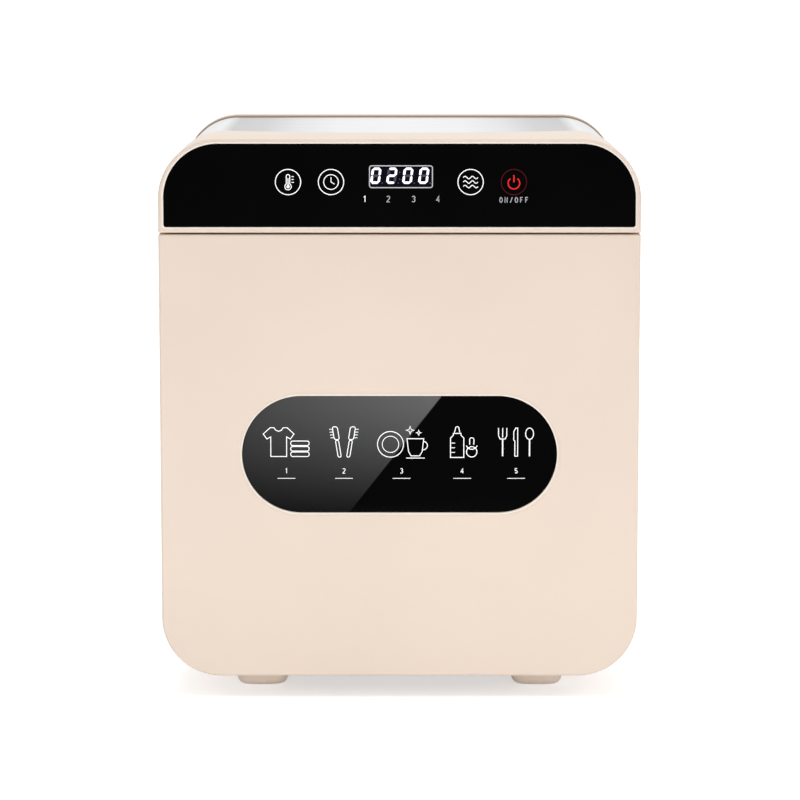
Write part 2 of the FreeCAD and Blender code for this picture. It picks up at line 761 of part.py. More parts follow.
def panel_screw_points():
    x = (panel_half + gasket_out) / 2
    points = []
    for side in (-1, 1):
        for z in (base + S.panel_screw_rise, door_top - S.panel_screw_drop):
            points.append((x * side, z))
    return points


def make_door_panel():
    body = new_body("door_inner_panel")
    low = base + S.shell_wall + S.panel_lift
    high = door_top - S.shell_wall - S.fit_gap
    radius = S.corner_radius - S.shell_wall - S.panel_lift
    pad(body, "plate", "XZ", panel_front, door_back,
        rounded(-panel_half, panel_half, low, high, (radius, radius, 0, 0)))
    inset = S.dish_inset
    left = chamber_half - inset
    dish_back = panel_front - S.dish_depth + S.panel_thickness
    pad(body, "dish", "XZ", dish_back - S.dish_wall, panel_front,
        rounded(-left, left, chamber_low + inset, chamber_high - inset, S.dish_radius))
    wall = S.dish_wall
    pocket(body, "dish_hollow", "XZ", dish_back, door_back,
           rounded(-left + wall, left - wall, chamber_low + inset + wall,
                   chamber_high - inset - wall, S.dish_radius - wall))
    gap = S.gasket_clearance / 2
    pocket(body, "gasket_groove", "XZ", door_back - S.gasket_groove, door_back,
           gasket_outline(S.gasket_width + gap), gasket_outline(-gap))
    notches = []
    for side in (-1, 1):
        half = S.lug_width / 2 + S.lug_side_gap
        centre = hinge_x * side
        notches.append(rectangle(centre - half, centre + half, base,
                                 axis_z + S.lug_end_radius + S.fit_gap * 2))
        edge = half_width * side
        depth = (S.grip_radius + S.shell_wall + S.fit_gap) * side
        reach = S.grip_length / 2 + S.shell_wall + S.fit_gap
        notches.append(between(edge - depth, edge, grip_centre - reach, grip_centre + reach))
    pocket(body, "panel_notches", "XZ", panel_front, door_back, *notches)
    seats = []
    for x, z in panel_screw_points():
        seats.append(square(x, z, S.screw_head * 2 + S.fit_gap))
    pocket(body, "screw_head_seats", "XZ", door_back - S.screw_head_depth, door_back, *seats)


def gasket_outline(offset):
    return chamber_outline(S.gasket_offset + offset)


def make_door_gasket():
    body = new_body("door_gasket")
    pad(body, "ring", "XZ", door_back - S.gasket_groove, ring_front - S.fit_gap,
        gasket_outline(S.gasket_width), gasket_outline(0))


def make_door_window():
    body = new_body("door_window")
    reach = S.window_height / 2 + S.window_overlap
    glass_face = front + S.shell_wall
    pad(body, "pane", "XZ", glass_face, glass_face + S.window_glass,
        rectangle(-S.window_width / 2 - S.window_overlap, S.window_width / 2 + S.window_overlap,
                  window_centre - reach, window_centre + reach))
    behind = glass_face + S.window_glass
    half = S.clip_width / 2
    clips = []
    feet = []
    for number in (-1, 0, 1):
        x = S.clip_pitch * number
        for side in (-1, 1):
            edge = window_centre + (reach + S.clip_foot) * side
            hook = window_centre + (reach - S.clip_hook) * side
            inner = window_centre + (reach + S.bond_gap) * side
            clips.append(between(x - half, x + half, hook, edge))
            feet.append(between(x - half, x + half, inner, edge))
    body = new_body("window_clips")
    pad(body, "clips", "XZ", behind, behind + S.clip_thickness, *clips)
    pad(body, "clip_feet", "XZ", glass_face, behind, *feet)


def make_door_magnets():
    magnets = []
    high = door_top - S.shell_wall - S.fit_gap
    for side in (-1, 1):
        x = magnet_x * side - S.magnet_length / 2
        magnets.append(box("magnet%d" % side, x, x + S.magnet_length,
                           panel_front - S.magnet_depth, panel_front,
                           high - S.magnet_height, high))
    x = magnet_x + S.magnet_length * 2
    magnets.append(box("switch_magnet", x, x + S.magnet_length / 2,
                       panel_front - S.magnet_depth, panel_front, high - S.magnet_height, high))
    group("door_magnets", magnets)


def make_panel_screws():
    heads = []
    for index, (x, z) in enumerate(panel_screw_points()):
        heads.append(prism("panel_screw%d" % index, SCREW_FLATS, "Y", S.screw_head,
                           S.screw_head_depth, x, door_back - S.screw_head_depth, z))
    group("door_panel_screws", heads)


def make_hinges():
    body = new_body("hinge_brackets")
    lugs = []
    plates = []
    arm_low = axis_z - S.lug_height / 2
    for side in (-1, 1):
        centre = hinge_x * side
        half = S.bracket_width / 2
        plates.append(rectangle(centre - half, centre + half, arm_low,
                                arm_low + S.bracket_height))
        half = S.lug_width / 2
        lugs.append(rectangle(centre - half, centre + half, arm_low, arm_low + S.lug_height))
    pad(body, "plates", "XZ", ring_back, ring_back + S.bracket_plate, *plates)
    pad(body, "arms", "XZ", axis_y, ring_back, *lugs)
    for side in (-1, 1):
        centre = hinge_x * side
        pad(body, "eye%d" % (side + 1), "YZ", centre - S.lug_width / 2, centre + S.lug_width / 2,
            flats(axis_y, axis_z, S.lug_end_radius, EYE_FLATS))
    reach = hinge_x + S.lug_width
    pocket(body, "pin_bore", "YZ", -reach, reach, circle(axis_y, axis_z, S.pin_radius + S.pin_play))
    pins = []
    length = S.lug_width + (S.lug_side_gap + S.hinge_rib) * 2
    for side in (-1, 1):
        pins.append(rod("hinge_pin%d" % side, "X", S.pin_radius, length,
                        hinge_x * side - length / 2, axis_y, axis_z))
    group("hinge_pins", pins)
    screws = []
    for side in (-1, 1):
        for across in (-1, 1):
            x = hinge_x * side + S.bracket_screw_reach * across
            z = arm_low + S.bracket_height - S.post_width
            screws.append(prism("hinge_screw%d%d" % (side, across), SCREW_FLATS, "Y",
                                S.screw_head, S.screw_head_depth, x, ring_back + S.bracket_plate, z))
    group("hinge_screws", screws)


def make_catches():
    catches = []
    low = liner_high + S.liner_flange + S.fit_gap
    high = seam - S.bond_gap
    for side in (-1, 1):
        x = magnet_x * side - S.magnet_length / 2
        catches.append(box("catch%d" % side, x, x + S.magnet_length, ring_back,
                           ring_back + S.catch_thickness, low, high))
    group("catch_plates", catches)
    x = magnet_x + S.magnet_length * 2
    keep("door_switch", box("door_switch", x, x + S.magnet_length, ring_back,
                            ring_back + S.switch_depth, low, high))


# Chamber

def make_inner_liner():
    body = new_body("inner_liner")
    wall = S.liner_wall
    pad(body, "box", "XZ", ring_back, liner_back, chamber_outline(wall))
    pad(body, "flange", "XZ", ring_back, ring_back + wall, chamber_outline(wall + S.liner_flange))
    pocket(body, "chamber", "XZ", ring_back, chamber_back, chamber_outline(0))
    half = S.air_hole / 2
    pocket(body, "air_hole", "XZ", chamber_back, liner_back,
           rectangle(-half, half, fan_height - half, fan_height + half))
    width = S.lamp_slot_width / 2
    pocket(body, "lamp_slot", "XY", chamber_high, liner_high,
           rectangle(-lamp_slot_half, lamp_slot_half, S.lamp_place - width,
                     S.lamp_place + width))


def make_rack_rails():
    body = new_body("rack_rails")
    shapes = []
    sheet_wall = S.rail_sheet
    for side in (-1, 1):
        wall = chamber_half * side
        leg = (chamber_half - sheet_wall) * side
        tip = (chamber_half - S.rail_ledge) * side
        for level in (rack_level, basket_level):
            low = level - sheet_wall
            high = low + S.rail_leg
            points = [(wall, low), (wall, high), (leg, high), (leg, level), (tip, level),
                      (tip, low)]
            shapes.append(polygon(*points))
    pad(body, "ledges", "XZ", ring_front + S.rack_front_gap, rack_back + S.rail_end, *shapes)


def make_upper_rack():
    body = new_body("upper_rack")
    low = rack_level + S.fit_gap
    high = low + S.rack_frame_height
    wall = S.rack_frame_width
    bend = S.frame_corner
    pad(body, "frame", "XY", low, high, rounded(-rack_half, rack_half, rack_front, rack_back, bend),
        rounded(wall - rack_half, rack_half - wall, rack_front + wall, rack_back - wall,
                bend - wall))
    level = (low + high) / 2
    reach = rack_half - bend
    pitch = reach * 2 / (S.rack_wires - 1)
    wire = pad(body, "wire", "XZ", rack_front + wall / 2, rack_back - wall / 2,
               flats(-reach, level, S.rack_wire / 2, WIRE_FLATS))
    pattern(body, "wires", wire, "X", pitch, S.rack_wires)
    strips = []
    for number in range(1, 3):
        y = rack_front + (rack_back - rack_front) * number / 3
        strips.append(rectangle(wall / 2 - rack_half, rack_half - wall / 2,
                                y - S.rack_strip / 2, y + S.rack_strip / 2))
    under = level - S.rack_wire / 2
    pad(body, "cross_strips", "XY", low, under + S.bond_gap, *strips)


def make_lower_basket():
    body = new_body("lower_basket")
    sheet_wall = S.basket_sheet
    level = basket_level + S.fit_gap
    low = level + sheet_wall - S.basket_depth
    half = rack_half - S.basket_flange
    near_y = rack_front + S.basket_flange / 2
    far_y = rack_back - S.basket_flange / 2
    radius = S.basket_radius
    pad(body, "rim", "XY", level, level + sheet_wall,
        rounded(-rack_half, rack_half, rack_front, rack_back, radius + S.basket_flange / 2))
    pad(body, "tub", "XY", low, level, rounded(-half, half, near_y, far_y, radius))
    pocket(body, "hollow", "XY", low + sheet_wall, level + sheet_wall,
           rounded(-half + sheet_wall, half - sheet_wall, near_y + sheet_wall,
                   far_y - sheet_wall, radius - sheet_wall))
    pitch = (half - radius) * 2 / S.basket_slots
    left = -(half - radius) + pitch / 2
    width = S.basket_slot_width / 2
    rows = []
    step = (far_y - near_y) / 3
    for number in (1, 2):
        y = near_y + step * number
        rows.append(rectangle(left - width, left + width, y - S.basket_slot_length / 2,
                              y + S.basket_slot_length / 2))
    slot = pocket(body, "floor_slot", "XY", low, low + sheet_wall, *rows)
    pattern(body, "floor_slots", slot, "X", pitch, S.basket_slots)
    slot_low = low + S.basket_slot_low
    slot_high = low + S.basket_slot_high
    slot = pocket(body, "end_slot", "XZ", near_y, far_y,
                  rectangle(left - width, left + width, slot_low, slot_high))
    pattern(body, "end_slots", slot, "X", pitch, S.basket_slots)
    side_pitch = (far_y - near_y - radius * 2) / S.basket_side_slots
    first = near_y + radius + side_pitch / 2
    slot = pocket(body, "side_slot", "YZ", -half, half,
                  rectangle(first - width, first + width, slot_low, slot_high))
    pattern(body, "side_slots", slot, "Y", side_pitch, S.basket_side_slots)


# Lamp

def make_lamp():
    radius = S.lamp_radius
    half = lamp_half
    y = S.lamp_place
    keep("uv_lamp_tube", rod("uv_lamp_tube", "X", radius, half * 2, -half, y, lamp_level))
    caps = []
    sockets = []
    for side in (-1, 1):
        start = half if side > 0 else -half - S.lamp_cap_length
        caps.append(prism("lamp_cap%d" % side, SMALL_FLATS, "X", radius + S.lamp_cap_wall,
                          S.lamp_cap_length, start, y, lamp_level))
        end = half + S.lamp_cap_length + S.bond_gap
        left = end if side > 0 else -end - S.socket_length
        sockets.append(box("lamp_socket%d" % side, left, left + S.socket_length,
                           y - S.socket_width / 2, y + S.socket_width / 2,
                           lamp_level - radius, reflector_high - S.reflector_sheet))
    group("uv_lamp_caps", caps)
    group("lamp_sockets", sockets)


def make_reflector():
    body = new_body("lamp_reflector")
    wall = S.reflector_sheet
    y = S.lamp_place
    foot = S.lamp_slot_width / 2
    flange = foot + S.reflector_flange
    crown = S.reflector_top / 2
    pad(body, "trough", "YZ", -lamp_slot_half - wall, lamp_slot_half + wall,
        polygon((y - flange, liner_high), (y - foot, liner_high),
                (y - crown, reflector_high - wall), (y + crown, reflector_high - wall),
                (y + foot, liner_high), (y + flange, liner_high),
                (y + flange, liner_high + wall), (y + foot + wall / 2, liner_high + wall),
                (y + crown + wall / 2, reflector_high), (y - crown - wall / 2, reflector_high),
                (y - foot - wall / 2, liner_high + wall), (y - flange, liner_high + wall)))


def make_lamp_guard():
    body = new_body("lamp_guard")
    half = lamp_slot_half + S.guard_end_margin
    width = S.lamp_slot_width / 2 + S.guard_margin
    low = chamber_high - S.guard_sheet
    y = S.lamp_place
    pad(body, "plate", "XY", low, chamber_high, rectangle(-half, half, y - width, y + width))
    pitch = lamp_slot_half * 2 / S.guard_slots
    left = -lamp_slot_half + pitch / 2
    reach = S.lamp_slot_width / 2 - S.guard_margin / 2
    slot = pocket(body, "guard_slot", "XY", low, chamber_high,
                  rectangle(left - S.guard_slot / 2, left + S.guard_slot / 2, y - reach,
                            y + reach))
    pattern(body, "guard_slots", slot, "X", pitch, S.guard_slots)


def make_ballast():
    half = S.ballast_length / 2
    depth = S.ballast_width / 2
    y = base_end - S.ballast_margin
    keep("lamp_ballast", box("lamp_ballast", -half, half, y - depth, y + depth, base_high,
                             base_high + S.ballast_height))


# Fan, heater and air path

def make_fan_frame():
    body = new_body("fan_frame")
    half = S.fan_size / 2
    z = fan_height
    pad(body, "frame", "XZ", fan_front, fan_back, rectangle(-half, half, z - half, z + half),
        flats_around(0, z, S.fan_bore / 2, BORE_FLATS))
    web = S.strut_depth
    reach = S.fan_bore / 2 + S.bond_gap
    bar = S.strut_width / 2
    pad(body, "upright_strut", "XZ", fan_back - web, fan_back,
        rectangle(-bar, bar, z - reach, z + reach))
    pad(body, "level_strut", "XZ", fan_back - web, fan_back,
        rectangle(-reach, reach, z - bar, z + bar))
    pad(body, "bearing", "XZ", fan_back - S.bearing_depth, fan_back,
        flats(0, z, S.bearing_radius, SMALL_FLATS))
    pocket(body, "bearing_bore", "XZ", fan_back - S.bearing_depth, fan_back,
           circle(0, z, S.shaft_radius + S.pin_play))


def make_fan_impeller():
    """A hub with slanted blades, on a shaft that turns in the fan frame's bearing."""
    body = new_body("fan_impeller")
    hub = S.hub_diameter / 2
    hub_front = fan_front + S.fan_tip_gap
    hub_back = fan_back - S.bearing_depth - S.fan_tip_gap
    pad(body, "hub", "XZ", hub_front, hub_back, flats(0, 0, hub, HUB_FLATS))
    pad(body, "shaft", "XZ", hub_back - S.fan_tip_gap, fan_back - S.fan_tip_gap,
        circle(0, 0, S.shaft_radius))
    middle = (hub_front + hub_back) / 2
    rise = S.blade_rise / 2
    run = S.blade_run / 2
    thickness = S.blade_thickness
    blade = pad(body, "blade", "YZ", hub - S.blade_root, S.fan_bore / 2 - S.fan_tip_gap * 2,
                polygon((middle - rise, -run), (middle, -thickness / 2),
                        (middle + rise, run - thickness), (middle + rise, run),
                        (middle, thickness), (middle - rise, thickness - run)))
    blades = body.newObject("PartDesign::PolarPattern", "blades")
    blades.Originals = [blade]
    blades.Axis = (origin_feature(body, "Y_Axis"), [""])
    blades.Angle = 360
    bind(blades, "Occurrences", S.blade_count)
    body.Tip = blades
    bind(body, ".Placement.Base.z", fan_height)
    doc.recompute()


def make_fan_screws():
    heads = []
    for number, (x, z) in enumerate(fan_corner_points()):
        heads.append(prism("fan_screw%d" % number, SCREW_FLATS, "Y", S.screw_head,
                           S.screw_head_depth, x, fan_front - S.screw_head_depth, z))
    group("fan_screws", heads)


def make_heater():
    body = new_body("heater_duct")
    outer = S.fan_size / 2
    inner = outer - S.duct_wall
    z = fan_height
    pad(body, "duct", "XZ", liner_back, fan_front,
        rectangle(-outer, outer, z - outer, z + outer),
        rectangle(-inner, inner, z - inner, z + inner))
    core = new_body("heater_core")
    far = fan_front - S.heater_gap
    near_y = far - S.heater_depth
    reach = inner - S.bond_gap
    bar = S.heater_bar
    for name, low in (("low_bar", z - reach), ("high_bar", z + reach - bar)):
        pad(core, name, "XZ", near_y, far, rectangle(-reach, reach, low, low + bar))
    pitch = (reach * 2 - S.fin_thickness) / (S.heater_fins - 1)
    fin = pad(core, "fin", "XZ", near_y, far,
              rectangle(-reach, S.fin_thickness - reach, z - reach + bar / 2, z + reach - bar / 2))
    pattern(core, "fins", fin, "X", pitch, S.heater_fins)
    half = S.cutout_length / 2
    middle = (liner_back + fan_front) / 2
    depth = S.cutout_width / 2
    keep("thermal_cutout", box("thermal_cutout", -half, half, middle - depth, middle + depth,
                               z + outer, z + outer + S.cutout_height))
    grille = new_body("air_grille")
    half = S.grille_size / 2
    near_y = chamber_back - S.grille_sheet
    pad(grille, "plate", "XZ", near_y, chamber_back,
        rectangle(-half, half, z - half, z + half))
    reach = S.grille_slot_length / 2
    pitch = reach * 2 / (S.grille_slots - 1)
    slot = pocket(grille, "slot", "XZ", near_y, chamber_back,
                  rectangle(-reach, reach, z - reach - S.grille_slot / 2,
                            z - reach + S.grille_slot / 2))
    pattern(grille, "slots", slot, "Z", pitch, S.grille_slots)
    half = S.sensor_width / 2
    low = chamber_high - S.sensor_drop
    keep("temperature_sensor", box("temperature_sensor", S.sensor_place - half,
                                   S.sensor_place + half, liner_back,
                                   liner_back + S.sensor_depth, low,
                                   low + S.sensor_width * 2))


# Controls

def board_screw_points():
    points = []
    screw_x = half_width - S.board_screw_margin
    middle = (glass_low + glass_high) / 2
    for side in (-1, 1):
        for lift in (-1, 1):
            points.append((screw_x * side, middle + S.board_screw_pitch * lift / 2))
    return points


def make_controls():
    glass = new_body("control_glass")
    radius = S.corner_radius - S.glass_margin
    low_radius = S.glass_low_radius
    pad(glass, "pane", "XZ", glass_front, glass_back,
        rounded(-glass_half, glass_half, glass_low, glass_high,
                (low_radius, low_radius, radius, radius)))
    chamfer(glass, "bevel",
            lambda at: near(at.YMin, glass_front) and near(at.YMax, glass_front), S.glass_bevel)
    board = new_body("control_board")
    middle = (glass_low + glass_high) / 2
    reach = S.board_height / 2
    pad(board, "board", "XZ", board_front, board_back,
        rectangle(-board_half, board_half, middle - reach, middle + reach))
    chips = []
    for number in (-1, 0, 1):
        chips.append(square(S.chip_pitch * number, middle, S.chip_width))
    pad(board, "chips", "XZ", board_back, board_back + S.chip_height, *chips)
    half = S.board_plug_width / 2
    pad(board, "plug_socket", "XZ", board_back, board_back + S.board_plug_depth,
        rectangle(S.board_plug_place - half, S.board_plug_place + half, middle - half / 2,
                  middle + half / 2))
    heads = []
    for index, (x, z) in enumerate(board_screw_points()):
        heads.append(prism("board_screw%d" % index, SCREW_FLATS, "Y", S.screw_head,
                           S.screw_head_depth, x, board_back, z))
    group("board_screws", heads)
    half = S.display_width / 2
    reach = S.display_height / 2
    level = key_level + S.display_rise
    keep("display_module", box("display_module", -half, half, glass_back + S.bond_gap, board_front,
                               level - reach, level + reach))
    pads = []
    reach = S.key_pad / 2
    for side in (-1, 1):
        for number in (0, 1):
            x = (S.key_place - S.key_pitch * number) * side
            pads.append(box("touch_pad%d%d" % (side, number), x - reach, x + reach,
                            glass_back + S.bond_gap, board_front, key_level - reach,
                            key_level + reach))
    group("touch_pads", pads)
    keep("buzzer", prism("buzzer", SMALL_FLATS, "Y", S.buzzer_radius, S.buzzer_depth,
                         S.buzzer_place, board_back, middle))


# Base

def make_feet():
    body = new_body("front_feet")
    radius = S.foot_diameter / 2
    sketch = new_sketch(body, "profile", "XZ", 0)
    edge = S.foot_bevel
    polygon((0, 0), (radius - edge, 0), (radius, edge), (radius, base), (0, base))(sketch)
    foot = body.newObject("PartDesign::Revolution", "foot")
    foot.Profile = sketch
    foot.ReferenceAxis = (origin_feature(body, "Z_Axis"), [""])
    foot.Angle = 360
    doc.recompute()
    pattern(body, "pair", foot, "X", foot_x * 2, 2)
    bind(body, ".Placement.Base.x", -foot_x)
    bind(body, ".Placement.Base.y", front_foot_y)
    pads = []
    for side in (-1, 1):
        pads.append(prism("rear_foot%d" % side, REAR_FOOT_FLATS, "Z", radius,
                          base + S.sleeve_inset, foot_x * side, rear_foot_y, 0))
    group("rear_feet", pads)


def make_base():
    plate = new_body("base_plate")
    half = half_width - S.base_margin
    start = ring_back + S.liner_wall + S.fit_gap
    pad(plate, "sheet", "XY", base_low, base_high, rectangle(-half, half, start, base_end))
    heads = []
    for number, y in enumerate((front_foot_y, rear_foot_y)):
        for side in (-1, 1):
            heads.append(prism("foot_screw%d%d" % (number, side), SCREW_FLATS, "Z",
                               S.foot_screw_head, S.screw_head_depth * 2, foot_x * side, y,
                               base_high))
    group("foot_screws", heads)
    supports = new_body("liner_supports")
    shapes = []
    wall = S.support_sheet
    for side in (-1, 1):
        inner = (support_x - S.support_width / 2) * side
        outer = (support_x + S.support_width / 2) * side
        web = inner + wall * side
        shapes.append(polygon((outer, base_high), (outer, base_high + wall),
                              (web, base_high + wall), (web, liner_low - wall),
                              (outer, liner_low - wall), (outer, liner_low), (inner, liner_low),
                              (inner, base_high)))
    pad(supports, "channels", "XZ", front_foot_y + S.support_end_gap,
        rear_foot_y - S.support_end_gap, *shapes)


def make_supply():
    body = new_body("power_board")
    half = supply_half
    low = base_high + S.supply_stand_off
    high = low + S.board_thickness
    near_y = S.supply_place - S.supply_depth / 2
    far_y = S.supply_place + S.supply_depth / 2
    pad(body, "board", "XY", low, high, rectangle(-half, half, near_y, far_y))
    posts = []
    for x in (S.post_width - half, half - S.post_width):
        for y in (near_y + S.post_width, far_y - S.post_width):
            posts.append(square(x, y, S.post_width))
    pad(body, "posts", "XY", base_high, low, *posts)
    top_of_board = high + S.board_parts_height
    reach = S.transformer_width / 2
    pad(body, "transformer", "XY", high, top_of_board,
        square(-half / 2, S.supply_place, S.transformer_width))
    pad(body, "relay", "XY", high, top_of_board - S.chip_height,
        rectangle(half / 2, half / 2 + reach, near_y + reach, near_y + reach * 2))
    pad(body, "capacitors", "XY", high, top_of_board,
        flats(0, near_y + reach, S.buzzer_radius, SMALL_FLATS),
        flats(0, far_y - reach, S.buzzer_radius, SMALL_FLATS))
    pad(body, "heat_sink", "XY", high, top_of_board - S.chip_height,
        rectangle(reach, reach * 3, far_y - reach, far_y - reach + S.board_thickness * 3))


BUILDERS = [
    make_front_housing, make_outer_sleeve, make_sleeve_seal, make_rear_cover, make_cover_screws,
    make_power_inlet, make_door_shell, make_door_panel, make_door_gasket, make_door_window,
    make_door_magnets, make_panel_screws, make_hinges, make_catches, make_inner_liner,
    make_rack_rails, make_upper_rack, make_lower_basket, make_lamp, make_reflector,
    make_lamp_guard, make_ballast, make_fan_frame, make_fan_impeller, make_fan_screws,
    make_heater, make_controls, make_feet, make_base, make_supply,
]


def check():
    """Stops on a failed object, a cut that removed nothing or a shape that isn't sound."""
    for item in doc.Objects:
        if "Invalid" in item.State or "Error" in item.State:
            raise RuntimeError("%s is %s" % (item.Label, item.State))
        if item.TypeId == "PartDesign::Pocket":
            if item.Shape.Volume > item.BaseFeature.Shape.Volume - 0.01:
                raise RuntimeError("%s cuts nothing" % item.Label)
    for name, item in parts.items():
        if item.Shape.isNull() or not item.Shape.isValid() or not item.Shape.Solids:
            raise RuntimeError("%s has no sound shape" % name)


def main():
    for build in BUILDERS:
        build()
    doc.recompute()
    check()
    os.makedirs("parts", exist_ok=True)
    for name, item in parts.items():
        item.Shape.exportStep("parts/%s.step" % name)
    print("%d sub-parts" % len(parts))


main()
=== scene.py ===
"""Looks of the countertop sterilising cabinet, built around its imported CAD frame.

Shapes are drawn in millimetres in the frame's axes: +Z is up and the door faces -Y.
"""

import math

import bmesh
import bpy
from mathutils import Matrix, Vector


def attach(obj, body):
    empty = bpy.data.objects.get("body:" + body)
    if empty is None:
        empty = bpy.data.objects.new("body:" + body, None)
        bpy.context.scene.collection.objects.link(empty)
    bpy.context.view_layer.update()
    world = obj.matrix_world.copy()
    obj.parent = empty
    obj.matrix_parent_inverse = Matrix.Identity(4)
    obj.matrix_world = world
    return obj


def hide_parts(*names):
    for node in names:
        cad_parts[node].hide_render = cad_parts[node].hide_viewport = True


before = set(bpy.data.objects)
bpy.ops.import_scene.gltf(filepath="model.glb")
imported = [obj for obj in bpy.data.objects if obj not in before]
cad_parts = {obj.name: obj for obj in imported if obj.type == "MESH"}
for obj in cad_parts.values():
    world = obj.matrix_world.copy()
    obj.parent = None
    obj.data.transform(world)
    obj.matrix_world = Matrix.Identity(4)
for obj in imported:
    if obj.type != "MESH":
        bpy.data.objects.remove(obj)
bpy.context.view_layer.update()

MM = 0.001

# Places of the frame that the pieces are drawn to.
HALF = 151.0
FRONT = -140.0
BACK = 140.0
BASE = 14.0
TOP = 356.0
CORNER = 37.5
EDGE = 1.8
SEAM = 297.3
DOOR_TOP = 296.3
DOOR_BACK = -112.0
RING_FRONT = -111.0
HOUSING_BACK = -55.0
HOUSING_MIDDLE = -77.0
SLEEVE_FRONT = -92.0
SLEEVE_BACK = 118.5
COVER_FRONT = 121.5
WALL = 2.5
WINDOW = (0.0, 157.0, 199.4, 75.3)
PANE_FRONT = FRONT + WALL
GLASS = (-147.4, 147.4, 301.0, 353.0)
GLASS_RADII = (1.5, 1.5, 33.9, 33.9)
GLASS_FRONT = -139.9
GLASS_GAP = 0.25
CHAMBER = (-131.0, 131.0, 50.0, 284.0)
CHAMBER_RADII = (8, 8, 8, 8)
RING_EDGE = 0.8
COVER_EDGE = 1.7
GRIP_MIDDLE = 250.0
HINGE_X = 100.0
SCREWS = [(side * 132.0, z) for side in (-1, 1) for z in (48.0, 322.0)]
INLET_X = -98.0
INLET_Z = 60.0
FOOT_X = 89.0
FOOT_RADIUS = 16.5
FOOT_ROLL = 4.7
LAMP_Y = -9.0
LAMP_Z = 294.0
LAMP_CAP_RADIUS = 8.05

# How finely curves are drawn.
STEPS = 28
WRAP_STEPS = 40
TOP_STEPS = 60

# The angle in degrees from which an edge stays sharp, and how close in metres points are joined.
SHARP_ANGLE = 32.0
WELD = 0.000002


# Colours

def srgb(red, green, blue):
    """A colour as it is measured on a screen, in the renderer's linear values."""
    values = []
    for part in (red, green, blue):
        part = part / 255
        values.append(part / 12.92 if part <= 0.04045 else ((part + 0.055) / 1.055) ** 2.4)
    return (values[0], values[1], values[2], 1.0)


WHITE = (1.0, 1.0, 1.0, 1.0)
CREAM = srgb(235, 218, 203)


def scaled(colour, factor):
    return (colour[0] * factor, colour[1] * factor, colour[2] * factor, 1.0)


def colour_sockets(node):
    """The two colour inputs of a mix node, and its colour output."""
    inputs = [item for item in node.inputs if item.type == "RGBA"]
    return inputs[0], inputs[1], [item for item in node.outputs if item.type == "RGBA"][0]


def seen_rays(nodes, links):
    """One for rays that show the background, and zero for rays that carry light to the object."""
    path = nodes.new("ShaderNodeLightPath")
    value = path.outputs["Is Camera Ray"]
    for kind in ("Is Glossy Ray", "Is Transmission Ray"):
        either = nodes.new("ShaderNodeMath")
        either.operation = "MAXIMUM"
        links.new(value, either.inputs[0])
        links.new(path.outputs[kind], either.inputs[1])
        value = either.outputs["Value"]
    return value


class Look:
    """A material with helpers for the nodes that most finishes share."""

    def __init__(self, name):
        self.material = bpy.data.materials.new(name)
        self.material.use_nodes = True
        self.nodes = self.material.node_tree.nodes
        self.links = self.material.node_tree.links
        self.shader = self.nodes["Principled BSDF"]
        self.place = self.nodes.new("ShaderNodeTexCoord").outputs["Object"]

    def set(self, **values):
        for key, value in values.items():
            self.shader.inputs[key.replace("_", " ")].default_value = value

    def add(self, kind, **values):
        node = self.nodes.new("ShaderNode" + kind)
        for key, value in values.items():
            setattr(node, key, value)
        return node

    def mapped(self, scale):
        node = self.add("Mapping")
        node.inputs["Scale"].default_value = scale
        self.links.new(self.place, node.inputs["Vector"])
        return node.outputs["Vector"]

    def noise(self, scale, detail=3.0, stretch=None):
        node = self.add("TexNoise")
        node.inputs["Scale"].default_value = scale
        node.inputs["Detail"].default_value = detail
        vector = self.place if stretch is None else self.mapped(stretch)
        self.links.new(vector, node.inputs["Vector"])
        return node.outputs["Fac"]

    def ranged(self, source, low, high, new_low, new_high, smooth=False):
        node = self.add("MapRange")
        if smooth:
            node.interpolation_type = "SMOOTHSTEP"
        self.links.new(source, node.inputs["Value"])
        for name, value in (("From Min", low), ("From Max", high), ("To Min", new_low),
                            ("To Max", new_high)):
            node.inputs[name].default_value = value
        return node.outputs["Result"]

    def math(self, operation, first, second):
        node = self.add("Math", operation=operation)
        for index, value in enumerate((first, second)):
            if isinstance(value, (int, float)):
                node.inputs[index].default_value = value
            else:
                self.links.new(value, node.inputs[index])
        return node.outputs["Value"]

    def mixed(self, factor, first, second):
        """Two fixed colours, mixed by a value."""
        node = self.add("Mix", data_type="RGBA")
        self.links.new(factor, node.inputs["Factor"])
        one, other, result = colour_sockets(node)
        one.default_value = first
        other.default_value = second
        return result

    def multiplied(self, first, second):
        node = self.add("Mix", data_type="RGBA", blend_type="MULTIPLY")
        node.inputs["Factor"].default_value = 1.0
        one, other, result = colour_sockets(node)
        self.links.new(first, one)
        self.links.new(second, other)
        return result

    def ramp(self, source, stops):
        node = self.add("ValToRGB")
        self.links.new(source, node.inputs["Fac"])
        ramp = node.color_ramp
        while len(ramp.elements) < len(stops):
            ramp.elements.new(0.5)
        for element, (position, colour) in zip(ramp.elements, stops):
            element.position = position
            element.color = colour
        return node.outputs["Color"]

    def colour(self, source):
        self.links.new(source, self.shader.inputs["Base Color"])

    def roughness(self, source):
        self.links.new(source, self.shader.inputs["Roughness"])

    def bump(self, source, depth_mm):
        node = self.add("Bump")
        node.inputs["Strength"].default_value = 1.0
        node.inputs["Distance"].default_value = depth_mm * MM
        self.links.new(source, node.inputs["Height"])
        self.links.new(node.outputs["Normal"], self.shader.inputs["Normal"])
        return self

    def coordinate(self, axis):
        node = self.add("SeparateXYZ")
        self.links.new(self.place, node.inputs["Vector"])
        return node.outputs[axis]


